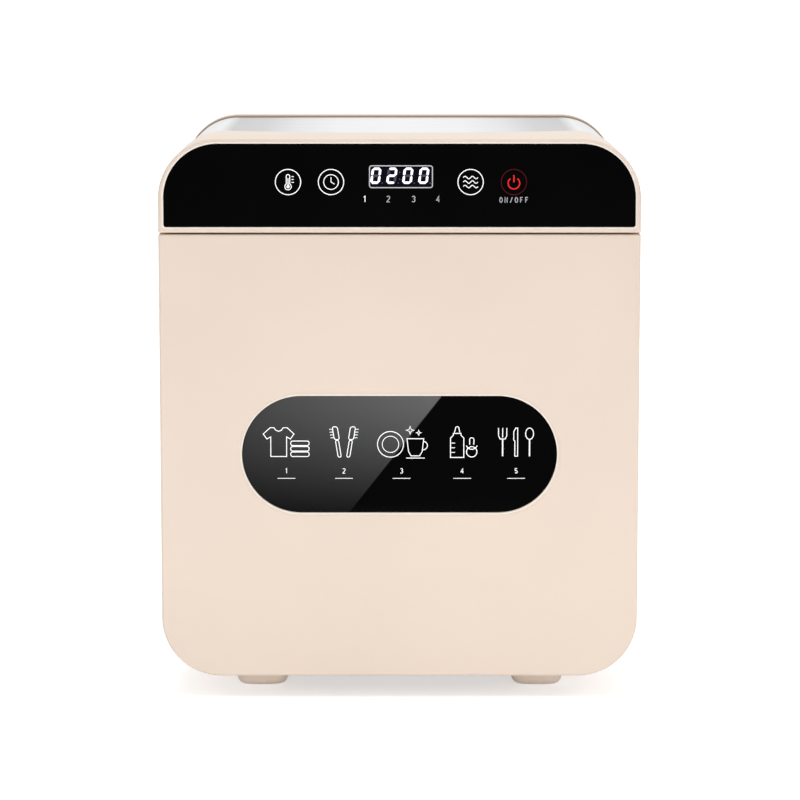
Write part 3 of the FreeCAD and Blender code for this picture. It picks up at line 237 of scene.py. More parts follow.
def plastic(name, colour, roughness, grain, depth, specular=0.5):
    """Moulded plastic: a slow drift in tone, and a fine eroded texture."""
    look = Look(name)
    look.set(Specular_IOR_Level=specular)
    drift = look.ranged(look.noise(9.0, 2.0), 0.35, 0.65, 0.0, 1.0)
    look.colour(look.mixed(drift, scaled(colour, 0.97), colour))
    fine = look.noise(grain, 4.0)
    look.roughness(look.ranged(fine, 0.3, 0.7, roughness - 0.04, roughness + 0.04))
    return look.bump(fine, depth).material


def metal(name, colour, roughness, stretch=(0.05, 1.0, 1.0), grain=2400.0, depth=0.002,
          spread=0.04):
    """Sheet or wire: grain drawn out along one axis, or even for small parts."""
    look = Look(name)
    look.set(Metallic=1.0)
    texture = look.noise(grain, 5.0, stretch)
    tone = look.ranged(texture, 0.3, 0.7, 0.0, 1.0)
    look.colour(look.mixed(tone, scaled(colour, 0.96), colour))
    look.roughness(look.ranged(texture, 0.3, 0.7, roughness - spread, roughness + spread))
    return look.bump(texture, depth).material


def rubber(name, colour, roughness):
    look = Look(name)
    look.set(Specular_IOR_Level=0.3, Sheen_Weight=0.08)
    dust = look.ranged(look.noise(60.0, 4.0), 0.4, 0.7, 0.0, 1.0)
    look.colour(look.mixed(dust, colour, scaled(colour, 1.12)))
    look.roughness(look.ranged(dust, 0.0, 1.0, roughness, roughness + 0.1))
    return look.bump(look.noise(2200.0, 3.0), 0.01).material


def brushed_wrap_painted_reflection():
    """The steel sleeve: brushed across its width, with broad bands of tone across it, lightest in
    the middle and at the bends: these bands are painted reflection, put into the colour by X in
    place of what a bent sheet mirrors."""
    look = Look("brushed_wrap_painted_reflection")
    look.set(Metallic=1.0)
    sideways = look.math("ABSOLUTE", look.coordinate("X"), 0.0)
    across = look.ranged(sideways, 0.0, HALF * MM, 0.0, 1.0)
    # Painted reflection: lighter and darker stripes across the width, standing in for the
    # surroundings mirrored in the sheet.
    painted_reflection_bands = look.ramp(across, [
        (0.0, srgb(251, 251, 252)), (0.28, srgb(247, 247, 248)), (0.46, srgb(231, 231, 232)),
        (0.6, srgb(202, 202, 203)), (0.73, srgb(194, 194, 195)), (0.785, srgb(245, 248, 248)),
        (0.93, srgb(226, 228, 228)), (0.985, srgb(196, 196, 197))])
    streak = look.noise(700.0, 6.0, (0.012, 1.0, 0.012))
    broad = look.noise(160.0, 3.0, (0.02, 1.0, 0.02))
    tone = look.math("ADD", look.ranged(streak, 0.28, 0.58, 0.0, 0.7),
                     look.ranged(broad, 0.3, 0.7, 0.0, 0.3))
    streaks = look.mixed(tone, (0.76, 0.76, 0.77, 1.0), WHITE)
    look.colour(look.multiplied(painted_reflection_bands, streaks))
    look.roughness(look.ranged(streak, 0.25, 0.75, 0.24, 0.38))
    return look.bump(streak, 0.006).material


def black_glass():
    look = Look("black_glass")
    look.set(Specular_IOR_Level=0.02)
    smear = look.ranged(look.noise(14.0, 2.0), 0.4, 0.7, 0.0, 1.0)
    look.colour(look.mixed(smear, srgb(0, 0, 0), srgb(2, 2, 2)))
    look.roughness(look.ranged(smear, 0.0, 1.0, 0.05, 0.09))
    return look.bump(look.noise(20.0, 1.0), 0.01).material


def window_glass():
    """Black glass with a painted reflection: grey on one side of a slanted line, strongest near the
    line and fading towards the bottom.
    """
    look = Look("window_glass")
    look.set(Specular_IOR_Level=0.02)
    z = look.coordinate("Z")
    level, lean, shift = 0.174, 0.785, 0.0108
    slant = look.math("MULTIPLY", look.math("SUBTRACT", z, level), lean)
    side = look.math("SUBTRACT", look.math("SUBTRACT", look.coordinate("X"), slant), shift)
    rise = look.math("POWER", look.ranged(z, 0.112, 0.197, 0.06, 1.0), 1.6)
    close = look.ranged(side, -0.11, 0.0, 0.075, 0.15)
    inside = look.ranged(side, -0.0006, 0.0006, 1.0, 0.0, smooth=True)
    # Painted reflection: the grey glare of a light in the glass, put into its colour.
    painted_glare = look.math("MULTIPLY", look.math("MULTIPLY", rise, close), inside)
    look.colour(look.mixed(painted_glare, srgb(1, 1, 1), (0.98, 0.99, 1.0, 1.0)))
    look.roughness(look.ranged(look.noise(18.0, 2.0), 0.3, 0.7, 0.05, 0.1))
    return look.bump(look.noise(16.0, 1.0), 0.01).material


def printed(name, colour, glow, level):
    """Marks behind the glass, a little uneven, each with a glow: painted light on the print and on
    the unlit segments, which have no lamp behind them; only the display's lit digits give real
    light.
    """
    look = Look(name)
    look.set(Specular_IOR_Level=0.03, Emission_Strength=level, Emission_Color=glow, Roughness=0.5)
    uneven = look.ranged(look.noise(120.0, 3.0), 0.3, 0.7, 0.0, 1.0)
    look.colour(look.mixed(uneven, scaled(colour, 0.92), colour))
    return look.material


def lamp_glass():
    look = Look("lamp_quartz")
    look.set(Specular_IOR_Level=0.6, Transmission_Weight=0.35, IOR=1.46)
    haze = look.ranged(look.noise(40.0, 3.0, (0.2, 1.0, 1.0)), 0.35, 0.7, 0.0, 1.0)
    look.colour(look.mixed(haze, srgb(214, 222, 236), srgb(238, 242, 248)))
    look.roughness(look.ranged(haze, 0.0, 1.0, 0.12, 0.22))
    return look.material


def floor_paint():
    """Pale paint that glows to the eye only, more with distance, so the ground ends in white."""
    look = Look("pale_floor")
    look.set(Roughness=0.9, Specular_IOR_Level=0.1)
    tone = look.ranged(look.noise(3.0, 2.0), 0.3, 0.7, 0.0, 1.0)
    look.colour(look.mixed(tone, (0.86, 0.86, 0.86, 1.0), (0.88, 0.88, 0.88, 1.0)))
    glow = look.add("Emission")
    reach = look.add("VectorMath", operation="LENGTH")
    look.links.new(look.place, reach.inputs[0])
    level = look.ranged(reach.outputs["Value"], 0.4, 2.0, 0.5, 1.0, smooth=True)
    look.links.new(look.math("MULTIPLY", seen_rays(look.nodes, look.links), level),
                   glow.inputs["Strength"])
    both = look.add("AddShader")
    look.links.new(look.shader.outputs["BSDF"], both.inputs[0])
    look.links.new(glow.outputs["Emission"], both.inputs[1])
    look.links.new(both.outputs["Shader"], look.nodes["Material Output"].inputs["Surface"])
    return look.material


EVEN = (1.0, 1.0, 1.0)
LOOKS = {
    "cream": plastic("cream_plastic", CREAM, 0.38, 1600.0, 0.006, specular=0.24),
    # A lighter copy of the cream for the two bezel rings: painted highlight.
    "bezel": plastic("bezel_cream_painted_highlight", srgb(250, 240, 228), 0.3, 1600.0, 0.003),
    "wrap": brushed_wrap_painted_reflection(),
    "sheet": metal("sheet_steel", srgb(214, 214, 214), 0.34),
    "mirror": metal("mirror_sheet", srgb(236, 236, 238), 0.14, depth=0.001, spread=0.03),
    "chrome": metal("chromed_wire", srgb(196, 197, 200), 0.16, EVEN, 300.0, 0.001, 0.03),
    "basket": metal("basket_steel", srgb(212, 212, 213), 0.3),
    "inner": plastic("inner_plastic", srgb(231, 226, 217), 0.5, 1100.0, 0.02),
    "glass": black_glass(),
    "window": window_glass(),
    "dark_rubber": rubber("seal_rubber", srgb(142, 120, 101), 0.6),
    "taupe_rubber": rubber("foot_rubber", srgb(236, 219, 204), 0.52),
    "black": plastic("black_plastic", srgb(38, 38, 39), 0.45, 900.0, 0.02),
    "screw": metal("screw_steel", srgb(190, 190, 186), 0.3, EVEN, 500.0),
    "magnet": metal("nickel", srgb(196, 192, 184), 0.22, EVEN, 200.0),
    "board": plastic("solder_mask", srgb(30, 92, 56), 0.3, 500.0, 0.03),
    "quartz": lamp_glass(),
    "alloy": metal("lamp_alloy", srgb(206, 206, 208), 0.36, grain=400.0),
    "ceramic": plastic("white_ceramic", srgb(236, 235, 230), 0.6, 300.0, 0.03),
    "duct": plastic("duct_plastic", srgb(58, 58, 60), 0.55, 700.0, 0.03),
    "ballast": plastic("ballast_case", srgb(226, 226, 222), 0.5, 800.0, 0.02),
    "brass": metal("pin_brass", srgb(214, 188, 124), 0.24, EVEN, 400.0),
    # These marks glow: painted light, except for the lit digits of the display.
    "mark": printed("mark_white", srgb(250, 250, 250), WHITE, 0.35),
    "mark_dim": printed("mark_grey", srgb(176, 176, 180), (0.5, 0.5, 0.52, 1.0), 0.15),
    "mark_soft": printed("mark_soft", srgb(196, 196, 200), (0.8, 0.8, 0.84, 1.0), 0.1),
    "mark_faint": printed("mark_dark", srgb(78, 75, 86), (0.05, 0.05, 0.09, 1.0), 0.1),
    "mark_red": printed("mark_red", srgb(226, 30, 32), (1.0, 0.05, 0.05, 1.0), 0.3),
    "mark_ring": printed("mark_red_dim", srgb(78, 18, 22), (0.3, 0.02, 0.03, 1.0), 0.07),
    "digit": printed("digit_white", srgb(244, 242, 255), (0.95, 0.93, 1.0, 1.0), 0.6),
    "digit_field": printed("digit_field", srgb(5, 3, 12), (0.01, 0.01, 0.03, 1.0), 0.1),
    "floor": floor_paint(),
}


# Meshes

def outline(left, right, low, high, radii, steps=STEPS):
    """A rectangle with rounded corners, from low left round to high left."""
    corners = [(left, low, 1, 1, 180), (right, low, -1, 1, 270), (right, high, -1, -1, 0),
               (left, high, 1, -1, 90)]
    points = []
    for (x, z, inward_x, inward_z, start), radius in zip(corners, radii):
        radius = max(radius, 0.01)
        for step in range(steps + 1):
            angle = math.radians(start + 90 * step / steps)
            points.append((x + inward_x * radius + radius * math.cos(angle),
                           z + inward_z * radius + radius * math.sin(angle)))
    return points


def inset(box, radii, amount, steps=STEPS):
    left, right, low, high = box
    return outline(left + amount, right - amount, low + amount, high - amount,
                   [max(radius - amount, 0.01) for radius in radii], steps)


def stadium(oval, offset, steps=40):
    """An oval with straight long sides."""
    x, z, width, height = oval
    radius = height / 2 + offset
    reach = width / 2 - height / 2
    points = []
    for side, start in ((1, -90), (-1, 90)):
        for step in range(steps + 1):
            angle = math.radians(start + 180 * step / steps)
            points.append((x + side * reach + radius * math.cos(angle),
                           z + radius * math.sin(angle)))
    return points


def circle(x, z, radius, count):
    return [(x + radius * math.cos(2 * math.pi * number / count),
             z + radius * math.sin(2 * math.pi * number / count)) for number in range(count)]


def arc(x, z, radius, start, end, count=24, flat=1.0):
    points = []
    for number in range(count + 1):
        angle = math.radians(start + (end - start) * number / count)
        points.append((x + radius * math.cos(angle), z + radius * flat * math.sin(angle)))
    return points


def at_depth(points, y):
    return [(x, y, z) for x, z in points]


def at_height(points, z):
    return [(x, y, z) for x, y in points]


def layers(box, radii, profile, steps=STEPS):
    """Rings of a rounded box, upright; the profile is (amount drawn in, depth)."""
    return [at_depth(inset(box, radii, amount, steps), y) for amount, y in profile]


def rounding(box, radii, edge, face, count=6, inward=1):
    """Rings that turn a wall into a flat face through a quarter round."""
    profile = []
    for number in range(count + 1):
        angle = math.radians(90 * number / count)
        profile.append((edge * (1 - math.cos(angle)), face + inward * edge * (1 - math.sin(angle))))
    return layers(box, radii, profile)


def linked(name, data):
    item = bpy.data.objects.new(name, data)
    bpy.context.scene.collection.objects.link(item)
    return item


def finished(mesh, name, look):
    """An object in the scene, made of a mesh that is done; a cutter has no look."""
    bmesh.ops.recalc_face_normals(mesh, faces=mesh.faces)
    data = bpy.data.meshes.new(name)
    mesh.to_mesh(data)
    mesh.free()
    if look:
        data.materials.append(LOOKS[look])
    return linked(name, data)


class Shape:
    """A mesh put together from closed rings of points."""

    def __init__(self):
        self.mesh = bmesh.new()

    def ring(self, points):
        return [self.mesh.verts.new((x * MM, y * MM, z * MM)) for x, y, z in points]

    def band(self, first, second):
        for index in range(len(first)):
            after = (index + 1) % len(first)
            self.mesh.faces.new((first[index], first[after], second[after], second[index]))

    def rings(self, sets, closed=False):
        """Rings joined in a row; returns them."""
        made = [self.ring(points) for points in sets]
        for first, second in zip(made, made[1:]):
            self.band(first, second)
        if closed:
            self.band(made[-1], made[0])
        return made

    def cap(self, ring):
        self.mesh.faces.new(ring)

    def solid(self, sets):
        """Rings joined in a row, with both ends closed."""
        made = self.rings(sets)
        self.cap(made[0])
        self.cap(made[-1])

    def web(self, *rings):
        """Fills the flat face between rings."""
        edges = []
        for ring in rings:
            for index in range(len(ring)):
                pair = (ring[index - 1], ring[index])
                edge = self.mesh.edges.get(pair)
                edges.append(edge or self.mesh.edges.new(pair))
        bmesh.ops.triangle_fill(self.mesh, use_beauty=True, edges=edges)

    def block(self, left, right, near_y, far_y, low, high, edge):
        """A box with rounded edges, as a stack of rings."""
        def level(amount, z):
            return at_height(outline(left + amount, right - amount, near_y + amount,
                                     far_y - amount, [edge * 1.5] * 4, 3), z)
        self.solid([level(edge, low), level(edge * 0.3, low + edge * 0.3), level(0, low + edge),
                    level(0, high - edge), level(edge * 0.3, high - edge * 0.3),
                    level(edge, high)])

    def prism(self, points, near_y, far_y):
        """One outline drawn out along Y."""
        self.solid([at_depth(points, near_y), at_depth(points, far_y)])

    def revolve(self, x, y, profile):
        """A solid of rings about a standing axis; the profile is (radius, height)."""
        self.solid([at_height(circle(x, y, radius, 48), z) for radius, z in profile])

    def revolve_depth(self, x, z, profile):
        """The same about an axis along Y; the profile is (radius, depth)."""
        self.solid([at_depth(circle(x, z, radius, 32), y) for radius, y in profile])

    def tube(self, points, radius, count, closed=False):
        """A round wire along points."""
        path = [Vector(point) for point in points]
        total = len(path)
        rings = []
        up = Vector((0, 0, 1))
        for index, point in enumerate(path):
            before = path[index - 1] if (index or closed) else point
            after = path[(index + 1) % total] if (index < total - 1 or closed) else point
            along = (after - before).normalized()
            side = along.cross(up)
            side = side.normalized() if side.length > 0.01 else Vector((1, 0, 0))
            lift = side.cross(along).normalized()
            ring = []
            for number in range(count):
                angle = 2 * math.pi * number / count
                ring.append(point + side * (radius * math.cos(angle))
                            + lift * (radius * math.sin(angle)))
            rings.append([tuple(item) for item in ring])
        if closed:
            self.rings(rings, closed=True)
        else:
            self.solid(rings)

    def object(self, name, look, sharp=SHARP_ANGLE):
        bmesh.ops.remove_doubles(self.mesh, verts=self.mesh.verts, dist=WELD)
        item = finished(self.mesh, name, look)
        soften(item, sharp)
        return item


def soften(item, sharp=SHARP_ANGLE):
    """Smooth shading, but for edges above an angle in degrees."""
    for face in item.data.polygons:
        face.use_smooth = True
    item.data.set_sharp_from_angle(angle=math.radians(sharp))


def carve(item, cutter):
    """Cuts one object's shape out of another, for good."""
    change = item.modifiers.new("cut", "BOOLEAN")
    change.operation = "DIFFERENCE"
    change.solver = "EXACT"
    change.object = cutter
    graph = bpy.context.evaluated_depsgraph_get()
    data = bpy.data.meshes.new_from_object(item.evaluated_get(graph))
    item.modifiers.clear()
    item.data = data
    bpy.data.objects.remove(cutter)
    soften(item)


def settle(item):
    """Large flat faces keep flat shading next to their rounded edges."""
    change = item.modifiers.new("shading", "WEIGHTED_NORMAL")
    change.keep_sharp = True
    change.weight = 100
    return item


def place(item, body, slot, *nodes):
    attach(item, body)
    if nodes:
        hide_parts(*nodes)


# Body

BODY_BOX = (-HALF, HALF, BASE, TOP)
BODY_RADII = (CORNER, CORNER, CORNER, CORNER)


def swept(points):
    """The housing's rear edge: straight down the sides, nearer the front in the middle on top."""
    reach = HALF - CORNER
    rise = HOUSING_BACK - HOUSING_MIDDLE
    radius = (reach * reach + rise * rise) / (2 * rise)
    ring = []
    for x, z in points:
        y = HOUSING_BACK
        if z > TOP - 3 and abs(x) < reach:
            y = HOUSING_MIDDLE + radius - math.sqrt(radius * radius - x * x)
        ring.append((x, y, z))
    return ring


def fine_outline(amount):
    """The body's outline with more points along the top, so the swept edge is smooth."""
    points = inset(BODY_BOX, BODY_RADII, amount)
    right, left = 3 * (STEPS + 1) - 1, 3 * (STEPS + 1)
    extra = []
    for number in range(1, TOP_STEPS):
        share = number / TOP_STEPS
        extra.append((points[right][0] * (1 - share) + points[left][0] * share, points[right][1]))
    return points[:left] + extra + points[left:]


def make_surround():
    """The housing behind the door: the ring round the chamber and the lip over the sleeve."""
    shape = Shape()
    opening = shape.rings(layers(CHAMBER, CHAMBER_RADII, (
        (0, RING_FRONT + WALL), (0, RING_FRONT + 0.4), (-0.4, RING_FRONT))))
    outer = [at_depth(fine_outline(amount), y) for amount, y in (
        (RING_EDGE, RING_FRONT), (0.25, RING_FRONT + 0.25), (0, RING_FRONT + RING_EDGE))]
    for amount, ahead in ((0, 0.5), (0.15, 0.15), (0.5, 0.0), (1.2, 0.0)):
        outer.append([(x, y - ahead, z) for x, y, z in swept(fine_outline(amount))])
    outer += [at_depth(fine_outline(amount), y) for amount, y in (
        (1.2, SLEEVE_FRONT), (WALL, SLEEVE_FRONT), (WALL, RING_FRONT + WALL))]
    made = shape.rings(outer)
    shape.web(made[0], opening[-1])
    shape.web(made[-1], opening[0])
    return settle(shape.object("housing_surround", "cream"))


def make_fascia():
    """The moulded band above the door, with the recess of its glass."""
    shape = Shape()
    box = (-HALF, HALF, SEAM, TOP)
    radii = (0.6, 0.6, CORNER, CORNER)
    made = shape.rings(layers(box, radii, [(0, RING_FRONT + RING_EDGE)]) +
                       rounding(box, radii, EDGE, FRONT))
    well = shape.rings(layers(GLASS, GLASS_RADII, (
        (-GLASS_GAP - 0.8, FRONT), (-GLASS_GAP - 0.7, FRONT + 0.12), (-GLASS_GAP, FRONT + 0.6),
        (-GLASS_GAP, FRONT + 2.1))))
    shape.web(made[-1], well[0])
    shape.cap(well[-1])
    shape.cap(made[0])
    return settle(shape.object("housing_fascia", "cream"))


def wrap_band(name, look, profile):
    """A closed band all round the body; the profile is (amount drawn in, depth)."""
    shape = Shape()
    shape.rings(layers(BODY_BOX, BODY_RADII, profile, WRAP_STEPS), closed=True)
    return settle(shape.object(name, look))


def make_sleeve():
    return wrap_band("steel_wrap", "wrap", (
        (2.3, SLEEVE_FRONT), (1.5, SLEEVE_FRONT), (1.5, SLEEVE_BACK - 0.2), (1.7, SLEEVE_BACK),
        (2.3, SLEEVE_BACK)))


def make_seal():
    return wrap_band("wrap_rear_seal", "dark_rubber", (
        (2.5, SLEEVE_BACK - 0.4), (1.3, SLEEVE_BACK - 0.4), (0.95, SLEEVE_BACK),
        (0.78, SLEEVE_BACK + 0.6), (0.78, COVER_FRONT - 0.3), (0.95, COVER_FRONT),
        (2.5, COVER_FRONT)))


def slot_outline(x, z, width, height):
    """A slot with round ends, lying or upright."""
    points = stadium((0, 0, max(width, height), min(width, height)), 0, 8)
    if width > height:
        return [(x + along, z + across) for along, across in points]
    return [(x - across, z + along) for along, across in points]


def inlet_outline(half_width, half_height, radius, steps):
    """A rounded box about the middle of the power inlet."""
    return outline(INLET_X - half_width, INLET_X + half_width, INLET_Z - half_height,
                   INLET_Z + half_height, [radius] * 4, steps)


def make_rear_cover():
    """The back moulding, with its vents, screw wells and the opening for the inlet."""
    shape = Shape()
    profile = ((WALL, BACK - WALL), (WALL, COVER_FRONT), (0.5, COVER_FRONT),
               (0.12, COVER_FRONT + 0.15), (0, COVER_FRONT + 0.5))
    shape.solid(layers(BODY_BOX, BODY_RADII, profile) +
                rounding(BODY_BOX, BODY_RADII, COVER_EDGE, BACK, inward=-1))
    cover = shape.object("rear_cover_moulding", "cream")
    inside, outside = BACK - WALL - 1, BACK + 1
    cutter = Shape()
    for number in range(-4, 5):
        cutter.prism(slot_outline(0, 165 + 7 * number, 64, 3), inside, outside)
        cutter.prism(slot_outline(11 * number, 316, 3, 18), inside, outside)
    cutter.prism(inlet_outline(17.8, 14.3, 3, 6), BACK - 2.2, outside)
    for x, z in SCREWS:
        cutter.revolve_depth(x, z, [(4.0, BACK - 1.4), (4.0, outside)])
    carve(cover, cutter.object("rear_cutter", None))
    hole = Shape()
    hole.prism(inlet_outline(12.3, 8.7, 1.5, 4), BACK - 4, outside)
    carve(cover, hole.object("inlet_cutter", None))
    return settle(cover)


def make_rear_screws():
    """Domed heads with a cross recess."""
    shape = Shape()
    for x, z in SCREWS:
        shape.revolve_depth(x, z, [(3.55, BACK - 1.35), (3.55, BACK - 0.8), (3.2, BACK - 0.4),
                                   (2.4, BACK - 0.12), (1.2, BACK - 0.02), (0.3, BACK)])
    heads = shape.object("rear_screw_heads", "screw")
    for name, wide, high in (("cross_cutter_a", 1.9, 0.35), ("cross_cutter_b", 0.35, 1.9)):
        cutter = Shape()
        for x, z in SCREWS:
            cutter.block(x - wide, x + wide, BACK - 0.9, BACK + 1, z - high, z + high, 0.05)
        carve(heads, cutter.object(name, None))
    return heads


def make_inlet_pins():
    """Three flat pins, the middle one a little higher."""
    shape = Shape()
    wide, high = 1.05, 2.05
    for number, lift in ((-1, 0), (0, 2), (1, 0)):
        x, z = INLET_X + 7 * number, INLET_Z + lift
        shape.block(x - wide, x + wide, 120.4, 137.1, z - high, z + high, 0.3)
    return shape.object("inlet_pins", "brass")


# Door

def window_rings(profile):
    """Rings of the oval window; the profile is (amount outside it, depth behind the front)."""
    return [at_depth(stadium(WINDOW, out), FRONT + deep) for out, deep in profile]


def grip_profile(half):
    """A whole finger grip as (radius, height), from (radius, reach) of one half."""
    return ([(radius, GRIP_MIDDLE - reach) for radius, reach in half] +
            [(radius, GRIP_MIDDLE + reach) for radius, reach in reversed(half)])


def make_door():
    """The door's shell, with the window's recess, finger grips and room for the hinges."""
    shape = Shape()
    box = (-HALF, HALF, BASE, DOOR_TOP)
    radii = (CORNER, CORNER, 0.8, 0.8)
    profile = ((WALL, PANE_FRONT), (WALL, DOOR_BACK), (0.5, DOOR_BACK), (0.12, DOOR_BACK - 0.15),
               (0, DOOR_BACK - 0.5))
    made = shape.rings(layers(box, radii, profile) + rounding(box, radii, EDGE, FRONT, 8))
    hole = shape.rings(window_rings((
        (2.9, 0.0), (2.5, 0.04), (0.8, 0.5), (0.3, 0.6), (0.0, 0.9), (0.0, WALL))))
    shape.web(made[-1], hole[0])
    shape.web(made[0], hole[-1])
    door = shape.object("door_moulding", "cream")
    cutter = Shape()
    for side in (-1, 1):
        cutter.revolve(side * HALF, DOOR_BACK, grip_profile((
            (0.4, 33.4), (5.6, 32.8), (7.4, 31.4), (8.0, 29.0))))
        cutter.block(side * HINGE_X - 5.8, side * HINGE_X + 5.8, -136.6, -100, 5, 28.6, 0.2)
    carve(door, cutter.object("door_cutter", None))
    return settle(door)


def make_grips():
    """The scooped finger grips in the door's side edges."""
    shape = Shape()
    thick = 0.9
    for side, start in ((-1, 360), (1, 180)):
        rings = []
        for radius, z in grip_profile(((1.0, 33.6), (5.7, 32.8), (7.5, 31.4), (8.05, 29.0))):
            curve = at_height(arc(side * HALF, DOOR_BACK, radius, start, 270, 14), z)
            back = [(x - side * thick, y - thick, z) for x, y, z in reversed(curve)]
            rings.append(curve + back)
        shape.solid(rings)
    return shape.object("door_grips", "cream")


def make_window_bezel():
    """The thin lip where the oval recess meets its glass, in a lighter cream than the door: painted
    highlight.
    """
    shape = Shape()
    shape.rings(window_rings((
        (0.7, 0.6), (0.66, 0.25), (0.5, 0.1), (0.1, 0.05), (-0.15, 0.15), (-0.25, 0.4),
        (-0.25, WALL - 0.05), (-0.05, WALL - 0.05))), closed=True)
    return shape.object("window_bezel", "bezel")


def make_pane():
    shape = Shape()
    shape.solid(layers((-105.7, 105.7, 113.4, 200.6), (2, 2, 2, 2), (
        (0, PANE_FRONT + 3.0), (0, PANE_FRONT + 0.35), (0.35, PANE_FRONT + 0.02))))
    return shape.object("oval_window_glass", "window")


def make_control_glass():
    shape = Shape()
    shape.solid(layers(GLASS, GLASS_RADII, ((0, GLASS_FRONT + 2.0), (0, GLASS_FRONT + 0.5))) +
                rounding(GLASS, GLASS_RADII, 0.45, GLASS_FRONT, 4))
    return settle(shape.object("fascia_glass", "glass"))


def soft_square(x, y, reach, count=72):
    """A closed curve between a circle and a square."""
    points = []
    for number in range(count):
        angle = 2 * math.pi * number / count
        across, along = math.cos(angle), math.sin(angle)
        size = reach / (across ** 4 + along ** 4) ** 0.25
        points.append((x + size * across, y + size * along))
    return points


def make_bezel():
    """The chamfer that frames the control glass, in a lighter cream than the body: painted
    highlight, on a chamfer that also catches real light.
    """
    shape = Shape()
    shape.rings(layers(GLASS, GLASS_RADII, (
        (-1.0, FRONT + 0.3), (-1.03, FRONT + 0.06), (-0.9, FRONT + 0.05), (-0.18, FRONT + 0.3),
        (-0.06, FRONT + 0.42), (-0.06, FRONT + 0.8))), closed=True)
    return shape.object("glass_bezel", "bezel")


def make_feet(name, y, high):
    """Moulded rubber feet with a soft lower edge and a faint parting line."""
    shape = Shape()
    sole, groove = FOOT_RADIUS - FOOT_ROLL, FOOT_RADIUS - 0.25
    profile = []
    for number in range(9):
        angle = math.radians(90 * number / 8)
        profile.append((sole + FOOT_ROLL * math.sin(angle), FOOT_ROLL * (1 - math.cos(angle))))
    profile += [(FOOT_RADIUS, 9.6), (groove, 9.8), (groove, 10.1), (FOOT_RADIUS, 10.3),
                (FOOT_RADIUS, high)]
    for side in (-1, 1):
        shape.solid([at_height(soft_square(side * FOOT_X, y, reach), z) for reach, z in profile])
    return shape.object(name, "taupe_rubber", 50.0)


# Inside

def make_rack():
    """Chromed rack: a rounded bar frame with round wires and two cross strips."""
    shape = Shape()
    left, right, near_y, far_y = -129.4, 129.4, -104.0, 84.0
    low, high = 188.3, 193.3
    profile = ((0.9, low), (0.25, low + 0.3), (0, low + 1.0), (0, high - 1.0), (0.25, high - 0.3),
               (0.9, high), (2.1, high), (2.75, high - 0.3), (3.0, high - 1.0), (3.0, low + 1.0),
               (2.75, low + 0.3), (2.1, low))
    shape.rings([at_height(inset((left, right, near_y, far_y), [12.0] * 4, amount, 14), z)
                 for amount, z in profile], closed=True)
    reach, wire_z = 117.4, 190.8
    for number in range(9):
        x = -reach + 2 * reach * number / 8
        shape.tube([(x, near_y + 1.4, wire_z), (x, far_y - 1.4, wire_z)], 1.3, 18)
    for number in (1, 2):
        y = near_y + (far_y - near_y) * number / 3
        shape.block(left + 1.5, right - 1.5, y - 3.5, y + 3.5, low + 0.05, 189.5, 0.3)
    return shape.object("wire_rack", "chrome")


def make_lamp_details():
    """Crimp rings on the caps of the lamp's tube."""
    shape = Shape()
    for side in (-1, 1):
        for reach in (101.2, 106.4):
            ring = [(side * reach, y, z) for y, z in circle(LAMP_Y, LAMP_Z, LAMP_CAP_RADIUS, 40)]
            shape.tube(ring, 0.35, 8, closed=True)
    return shape.object("lamp_cap_crimps", "alloy")


# Marks: thin printed lines

class Marks:
    """Flat lines of one colour in a plane that faces the front."""

    def __init__(self, y):
        self.y = y
        self.mesh = bmesh.new()

    def line(self, points, width, closed=False):
        count = len(points)
        left, right = [], []
        for index in range(count):
            here = Vector(points[index])
            before = Vector(points[index - 1]) if (index or closed) else here
            after = Vector(points[(index + 1) % count]) if (index < count - 1 or closed) else here
            first = (here - before).normalized() if (here - before).length > 0 else None
            second = (after - here).normalized() if (after - here).length > 0 else None
            first = first or second
            second = second or first
            across = Vector((-first.y - second.y, first.x + second.x))
            across = across.normalized() if across.length > 0.05 else Vector((-first.y, first.x))
            reach = width / 2 / max(across.dot(Vector((-second.y, second.x))), 0.5)
            left.append(self.point(here + across * reach))
            right.append(self.point(here - across * reach))
        for index in range(count if closed else count - 1):
            after = (index + 1) % count
            self.mesh.faces.new((left[index], left[after], right[after], right[index]))

    def point(self, place):
        return self.mesh.verts.new((place.x * MM, self.y * MM, place.y * MM))

    def fill(self, points):
        self.mesh.faces.new([self.point(Vector(point)) for point in points])

    def object(self, name, look):
        return finished(self.mesh, name, look)


def moved(points, x, z, scale=1.0):
    return [(x + a * scale, z + b * scale) for a, b in points]


# Each glyph is drawn in a cell one unit wide and two units high.
GLYPHS = {
    "1": [[(0.2, 1.6), (0.6, 2.0), (0.6, 0.0)]],
    "2": [arc(0.5, 1.5, 0.5, 160, -30, 8) + [(0.0, 0.0), (1.0, 0.0)]],
    "3": [arc(0.45, 1.52, 0.48, 150, -90, 8), arc(0.45, 0.52, 0.52, 90, -150, 8)],
    "4": [[(0.75, 0.0), (0.75, 2.0), (0.0, 0.6), (1.0, 0.6)]],
    "5": [[(0.9, 2.0), (0.15, 2.0), (0.1, 1.15)] + arc(0.45, 0.6, 0.56, 120, -140, 9)],
    "O": [arc(0.5, 1.0, 0.5, 0, 360, 16, 1.9)],
    "N": [[(0.05, 0.0), (0.05, 2.0), (0.95, 0.0), (0.95, 2.0)]],
    "F": [[(0.1, 0.0), (0.1, 2.0), (0.95, 2.0)], [(0.1, 1.05), (0.8, 1.05)]],
    "/": [[(0.1, -0.1), (0.9, 2.1)]],
}


def write(marks, text, x, z, height, width, spread=1.55):
    """Plain characters, centred on a place."""
    unit = height / 2
    step = unit * spread
    start = x - (step * (len(text) - 1) + unit) / 2
    for index, character in enumerate(text):
        for stroke in GLYPHS[character]:
            marks.line(moved(stroke, start + index * step, z - unit, unit), width)


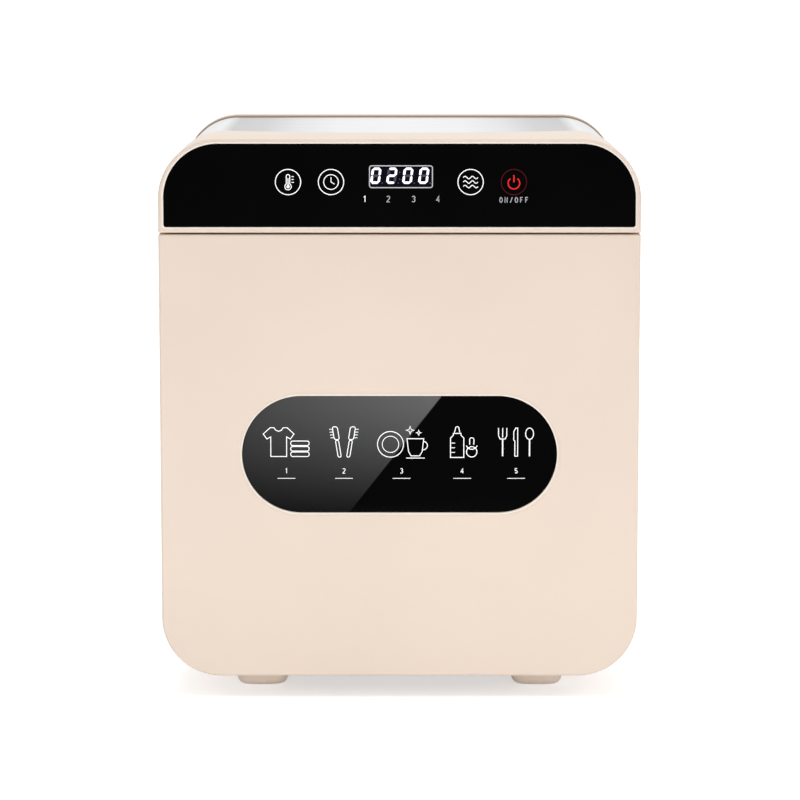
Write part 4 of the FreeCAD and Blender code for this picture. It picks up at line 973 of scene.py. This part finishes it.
# The seven bars of a digit, as ends in a cell one wide and two high.
BARS = {"a": ((0, 2), (1, 2)), "b": ((1, 2), (1, 1)), "c": ((1, 1), (1, 0)), "d": ((1, 0), (0, 0)),
        "e": ((0, 0), (0, 1)), "f": ((0, 1), (0, 2)), "g": ((0, 1), (1, 1))}
LIT = {"0": "abcdef", "2": "abged"}


def bar(marks, x, z, ends, size, width):
    """One slanted bar with pointed ends."""
    slant = 0.13
    start, end = [Vector((a * size[0], b * size[1] / 2)) for a, b in ends]
    along = (end - start).normalized()
    across = Vector((-along.y, along.x)) * width / 2
    gap = along * width * 0.52
    tip = along * width * 0.04
    marks.fill([(x + corner.x + corner.y * slant, z + corner.y) for corner in (
        start + tip, start + gap + across, end - gap + across, end - tip, end - gap - across,
        start + gap - across)])


def make_fascia_marks():
    """Four keys with their symbols, the clock, and the numbers under them."""
    y = GLASS_FRONT - 0.03
    white, grey, bright, red, ring = [Marks(y) for number in range(5)]
    faint, digits, field = Marks(y - 0.005), Marks(y - 0.02), Marks(y + 0.01)
    keys = (-69.5, -42.7, 44.3, 71.3)
    level, radius, thin, thick = 329.2, 7.9, 0.5, 0.75
    for x in keys[:3]:
        white.line(circle(x, level, radius, 72), 0.52, closed=True)
    ring.line(circle(keys[3], level, radius, 72), thin, closed=True)
    # thermometer
    x, bulb = keys[0], level - 2.9
    stem = arc(x, level + 3.6, 1.1, 0, 180, 10) + arc(x, bulb, 2.0, 123, 417, 20)
    white.line(stem, thin, closed=True)
    white.line([(x, level + 2.4), (x, level - 2.4)], 0.6)
    white.fill(circle(x, bulb, 1.0, 18))
    for lift in (3.4, 1.6, -0.2):
        white.line([(x + 2.2, level + lift), (x + 3.6, level + lift)], 0.45)
    # clock
    x = keys[1]
    white.line(circle(x, level, 4.6, 40), thin, closed=True)
    white.line([(x, level + 3.0), (x, level), (x + 2.2, level - 1.3)], thin)
    # three waves of warm air
    x = keys[2]
    for lift in (-2.8, 0.0, 2.8):
        wave = []
        for number in range(25):
            along = -4.6 + 9.2 * number / 24
            wave.append((x + along, level + lift + 0.8 * math.sin(along * 1.37)))
        white.line(wave, thin)
    # power
    x = keys[3]
    red.line(arc(x, level - 0.7, 3.6, 128, 412, 36), thick)
    red.line([(x, level + 4.3), (x, level - 0.2)], thick)
    # clock display: frame, dark field, digits and dots
    bright.line(outline(-18.7, 20.5, 325.7, 339.3, [1.3] * 4, 8), 0.62, closed=True)
    field.fill(outline(-18.5, 20.3, 325.9, 339.1, [1.1] * 4, 8))
    pitch, dot = 9.95, 0.5
    for index, character in enumerate("0200"):
        x = 0.2 + (index - 1.5) * pitch - 2.9
        for name, ends in BARS.items():
            target = digits if name in LIT[character] else faint
            bar(target, x, 328.8, ends, (4.6, 8.7), 1.5)
        faint.fill(circle(x + 6.9, 328.5, dot, 12))
    for z in (330.9, 335.2):
        faint.fill(circle(0.1, z, dot, 12))
    # mode numbers
    for index, x in enumerate((-21.7, -7.0, 8.8, 24.0)):
        write(white if index == 0 else grey, str(index + 1), x, 318.6, 3.6, 0.55)
    write(grey, "ON/OFF", keys[3], 318.0, 3.2, thin, 2.0)
    return [white.object("fascia_symbols", "mark"), grey.object("fascia_numbers", "mark_dim"),
            bright.object("display_outline", "mark_soft"),
            faint.object("display_unlit", "mark_faint"), red.object("power_symbol", "mark_red"),
            ring.object("power_ring", "mark_ring"), digits.object("display_digits", "digit"),
            field.object("display_field", "digit_field")]


def sparkle(marks, x, z, size):
    """A small star with four points."""
    points = []
    for number in range(8):
        angle = math.radians(45 * number)
        reach = size if number % 2 == 0 else size * 0.32
        points.append((x + reach * math.cos(angle), z + reach * math.sin(angle)))
    marks.line(points, 0.4, closed=True)


def make_window_marks():
    """Five small line drawings of what goes inside, with numbers under them."""
    marks = Marks(PANE_FRONT - 0.03)
    thick, thin, fine = 0.8, 0.52, 0.42
    level = 164.6
    places = (-71.5, -35.1, 1.3, 39.6, 73.7)

    def draw(points, width=thin, closed=False):
        marks.line(moved(points, x, level), width, closed)

    # garment and a folded pile
    x = places[0]
    draw([(-14.5, 5.2), (-10.2, 9.2), (-7.6, 9.2), (-6.6, 7.6), (-4.8, 6.9), (-3.0, 7.6),
          (-2.0, 9.2), (0.6, 9.2), (4.9, 5.2), (2.6, 2.0), (0.2, 3.4), (0.2, -9.2), (-9.8, -9.2),
          (-9.8, 3.4), (-12.2, 2.0)], closed=True)
    for low in (-9.2, -5.7, -2.2):
        marks.line(outline(x + 2.8, x + 14.4, level + low, level + low + 2.9, [1.2] * 4, 5), thin,
                   closed=True)
    # two brushes
    x = places[1]
    handle = outline(-1.0, 1.0, -9.6, 1.2, [1.0] * 4, 5)
    head = outline(-1.6, 1.6, 1.6, 9.8, [1.2] * 4, 5)
    for side, lean in ((-1, -0.16), (1, 0.16)):
        for part in (handle, head):
            marks.line([(x + side * 4.2 + a + b * lean, level + b) for a, b in part], thin,
                       closed=True)
        near = x + side * 4.2 + side * 1.9
        for lift in (2.8, 4.6, 6.4, 8.2):
            marks.line([(near + lift * lean, level + lift),
                        (near + side * 1.9 + lift * lean, level + lift)], fine)
    # plate and cup
    x = places[2]
    marks.line(circle(x - 7.0, level - 1.4, 8.2, 48), thin, closed=True)
    marks.line(circle(x - 7.0, level - 1.4, 5.2, 40), fine, closed=True)
    draw([(3.4, 2.2), (14.0, 2.2), (13.0, -6.0), (11.4, -8.8), (6.0, -8.8), (4.4, -6.0)],
         closed=True)
    draw(arc(13.6, -2.2, 2.7, 80, -100, 14))
    draw([(3.0, -10.2), (14.6, -10.2)])
    sparkle(marks, x + 5.4, level + 7.6, 2.6)
    sparkle(marks, x + 10.8, level + 6.0, 1.7)
    # feeding bottle and ring
    x = places[3]
    draw([(-7.4, -9.8), (-7.4, 2.6), (-5.6, 4.4), (-5.6, 5.6), (-0.8, 5.6), (-0.8, 4.4),
          (1.0, 2.6), (1.0, -9.8)], closed=True)
    draw([(-5.0, 6.0), (-4.4, 8.0)] + arc(-3.2, 8.8, 1.1, 180, 0, 8) + [(-2.0, 8.0), (-1.4, 6.0)])
    for lift in (-6.6, -3.6, -0.6):
        draw([(-7.0, lift), (-4.6, lift)], fine)
    draw(circle(6.0, -6.2, 3.3, 30), closed=True)
    draw(arc(6.0, -1.0, 3.6, 200, 340, 12))
    draw([(4.7, -1.6), (4.7, 1.0)] + arc(6.0, 1.4, 1.4, 180, 0, 8) + [(7.3, -1.6)])
    # fork, knife and spoon
    x = places[4]
    draw([(-8.6, -9.0), (-8.6, 1.6)], thick)
    draw([(-11.2, 9.0), (-11.2, 4.0), (-10.2, 2.0), (-7.0, 2.0), (-6.0, 4.0), (-6.0, 9.0)])
    draw([(-8.6, 9.0), (-8.6, 3.0)])
    draw([(-0.9, -9.0), (-0.9, 0.6), (-1.6, 1.4), (-1.6, 6.6), (-0.4, 9.0), (0.9, 9.0),
          (0.9, -9.0)], closed=True)
    draw(arc(8.4, 5.4, 2.5, 0, 360, 28, 1.45))
    draw([(8.4, 1.7), (8.4, -9.0)], thick)
    # a number and a line under each
    for index, middle in enumerate(places):
        write(marks, str(index + 1), middle, 146.2, 3.0, fine)
        marks.line([(middle - 5.6, 141.4), (middle + 5.6, 141.4)], 0.36)
    return marks.object("window_pictograms", "mark")


def ease(item, width=0.3):
    """Small rounded edges on a CAD solid that stays as it is."""
    change = item.modifiers.new("edges", "BEVEL")
    change.width = width * MM
    change.segments = 2
    change.limit_method = "ANGLE"
    change.angle_limit = math.radians(40)
    change.use_clamp_overlap = True
    change.harden_normals = True


# The pieces in their places

# Solids that are round or too fine, and keep their edges.
SHARP_NODES = ["fan_impeller", "uv_lamp_tube", "door_gasket", "board_screws", "foot_screws",
               "hinge_pins", "heater_core", "window_clips"]

NODE_LOOKS = {
    "sheet": ["inner_liner", "rack_rails", "lamp_guard", "air_grille", "base_plate",
              "liner_supports", "hinge_brackets", "catch_plates"],
    "mirror": ["lamp_reflector"],
    "basket": ["lower_basket"],
    "inner": ["door_inner_panel"],
    "dark_rubber": ["door_gasket"],
    "black": ["fan_frame", "fan_impeller", "power_inlet", "window_clips", "door_switch",
              "display_module", "buzzer", "thermal_cutout", "temperature_sensor"],
    "screw": ["board_screws", "door_panel_screws", "fan_screws", "foot_screws", "hinge_screws",
              "hinge_pins", "touch_pads"],
    "magnet": ["door_magnets"],
    "board": ["control_board", "power_board"],
    "quartz": ["uv_lamp_tube"],
    "alloy": ["uv_lamp_caps", "heater_core"],
    "ceramic": ["lamp_sockets"],
    "duct": ["heater_duct"],
    "ballast": ["lamp_ballast"],
}
for look_name, members in NODE_LOOKS.items():
    for node_name in members:
        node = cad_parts[node_name]
        if not node.material_slots:
            node.data.materials.append(LOOKS[look_name])
        for slot in node.material_slots:
            slot.material = LOOKS[look_name]
        if node_name not in SHARP_NODES:
            ease(node)

place(make_surround(), "cabinet", "cream_plastic", "front_housing")
place(make_fascia(), "cabinet", "cream_plastic", "front_housing")
place(make_sleeve(), "cabinet", "brushed_steel", "outer_sleeve")
place(make_seal(), "cabinet", "dark_rubber", "sleeve_rear_seal")
place(make_rear_cover(), "cabinet", "cream_plastic", "rear_cover")
place(make_rear_screws(), "cabinet", "screw_steel", "rear_cover_screws")
place(make_inlet_pins(), "cabinet", "screw_steel")
place(make_control_glass(), "cabinet", "black_glass", "control_glass")
place(make_bezel(), "cabinet", "cream_plastic")
place(make_feet("front_feet_moulded", -91.5, 14.0), "cabinet", "taupe_rubber", "front_feet")
place(make_feet("rear_feet_moulded", 95.0, 15.5), "cabinet", "taupe_rubber", "rear_feet")
place(make_lamp_details(), "cabinet", "lamp_metal")
place(make_door(), "door", "cream_plastic", "door_shell")
place(make_grips(), "door", "cream_plastic")
place(make_window_bezel(), "door", "cream_plastic")
place(make_pane(), "door", "black_glass", "door_window")
place(make_rack(), "rack", "chromed_wire", "upper_rack")
for item in make_fascia_marks():
    place(item, "cabinet", "black_glass")
place(make_window_marks(), "door", "black_glass")


# Studio

def make_floor():
    """A plane out to the horizon, just under the feet."""
    shape = Shape()
    reach, z = 90000.0, -0.05
    shape.cap(shape.ring([(-reach, -reach, z), (reach, -reach, z), (reach, reach, z),
                          (-reach, reach, z)]))
    return shape.object("studio_floor", "floor")


def make_world():
    """White for the eye, and dimmer as a light."""
    world = bpy.data.worlds.new("studio")
    bpy.context.scene.world = world
    world.use_nodes = True
    nodes, links = world.node_tree.nodes, world.node_tree.links
    seen, light = nodes["Background"], nodes.new("ShaderNodeBackground")
    for node, strength in ((seen, 1.0), (light, 0.42)):
        node.inputs["Color"].default_value = WHITE
        node.inputs["Strength"].default_value = strength
    choice = nodes.new("ShaderNodeMixShader")
    links.new(seen_rays(nodes, links), choice.inputs["Fac"])
    links.new(light.outputs["Background"], choice.inputs[1])
    links.new(seen.outputs["Background"], choice.inputs[2])
    links.new(choice.outputs["Shader"], nodes["World Output"].inputs["Surface"])


def make_lamp(name, spot, aim_z, size, power, wide=None):
    """A soft lamp aimed at the middle axis: round, or a strip when its width is given too."""
    data = bpy.data.lights.new(name, "AREA")
    data.shape = "RECTANGLE" if wide else "DISK"
    data.size = wide or size
    data.size_y = size
    data.energy = power
    item = linked(name, data)
    item.visible_glossy = False
    item.visible_camera = False
    item.location = spot
    aim = Vector((0.0, 0.0, aim_z)) - Vector(spot)
    item.rotation_euler = aim.to_track_quat("-Z", "Y").to_euler()


def make_camera():
    """A long lens, tilted and shifted a little, for the photograph's view."""
    data = bpy.data.cameras.new("camera")
    data.sensor_width = 36.0
    data.lens = 139.9
    data.shift_x = 0.0006
    data.shift_y = -0.0379
    data.clip_start = 0.05
    data.clip_end = 60.0
    item = linked("camera", data)
    item.location = (0.0, -2.075, 0.4817)
    item.rotation_euler = (math.radians(90.0 - 7.96), 0.0, 0.0)
    bpy.context.scene.camera = item


make_camera()
make_floor()
make_world()
# Name, place, height of the aim, size, power and, for a strip, width; in metres and watts.
make_lamp("key", (-0.6, -2.7, 1.3), 0.05, 2.4, 2.5)
make_lamp("low_front", (0.2, -2.9, 0.4), 0.02, 0.7, 2.0)
make_lamp("floor_strip", (0.0, -0.8, 0.06), 0.06, 0.1, 2.2, 1.6)
make_lamp("fill", (2.3, -1.2, 1.2), 0.1, 2.2, 9.0)
make_lamp("overhead", (0.0, -0.3, 2.6), 0.3, 1.9, 27.0)
make_lamp("back_left", (-2.2, 1.6, 1.2), 0.1, 2.2, 16.0)
make_lamp("back_right", (2.2, 1.6, 1.2), 0.1, 2.2, 14.0)
bpy.context.scene.view_settings.view_transform = "Standard"
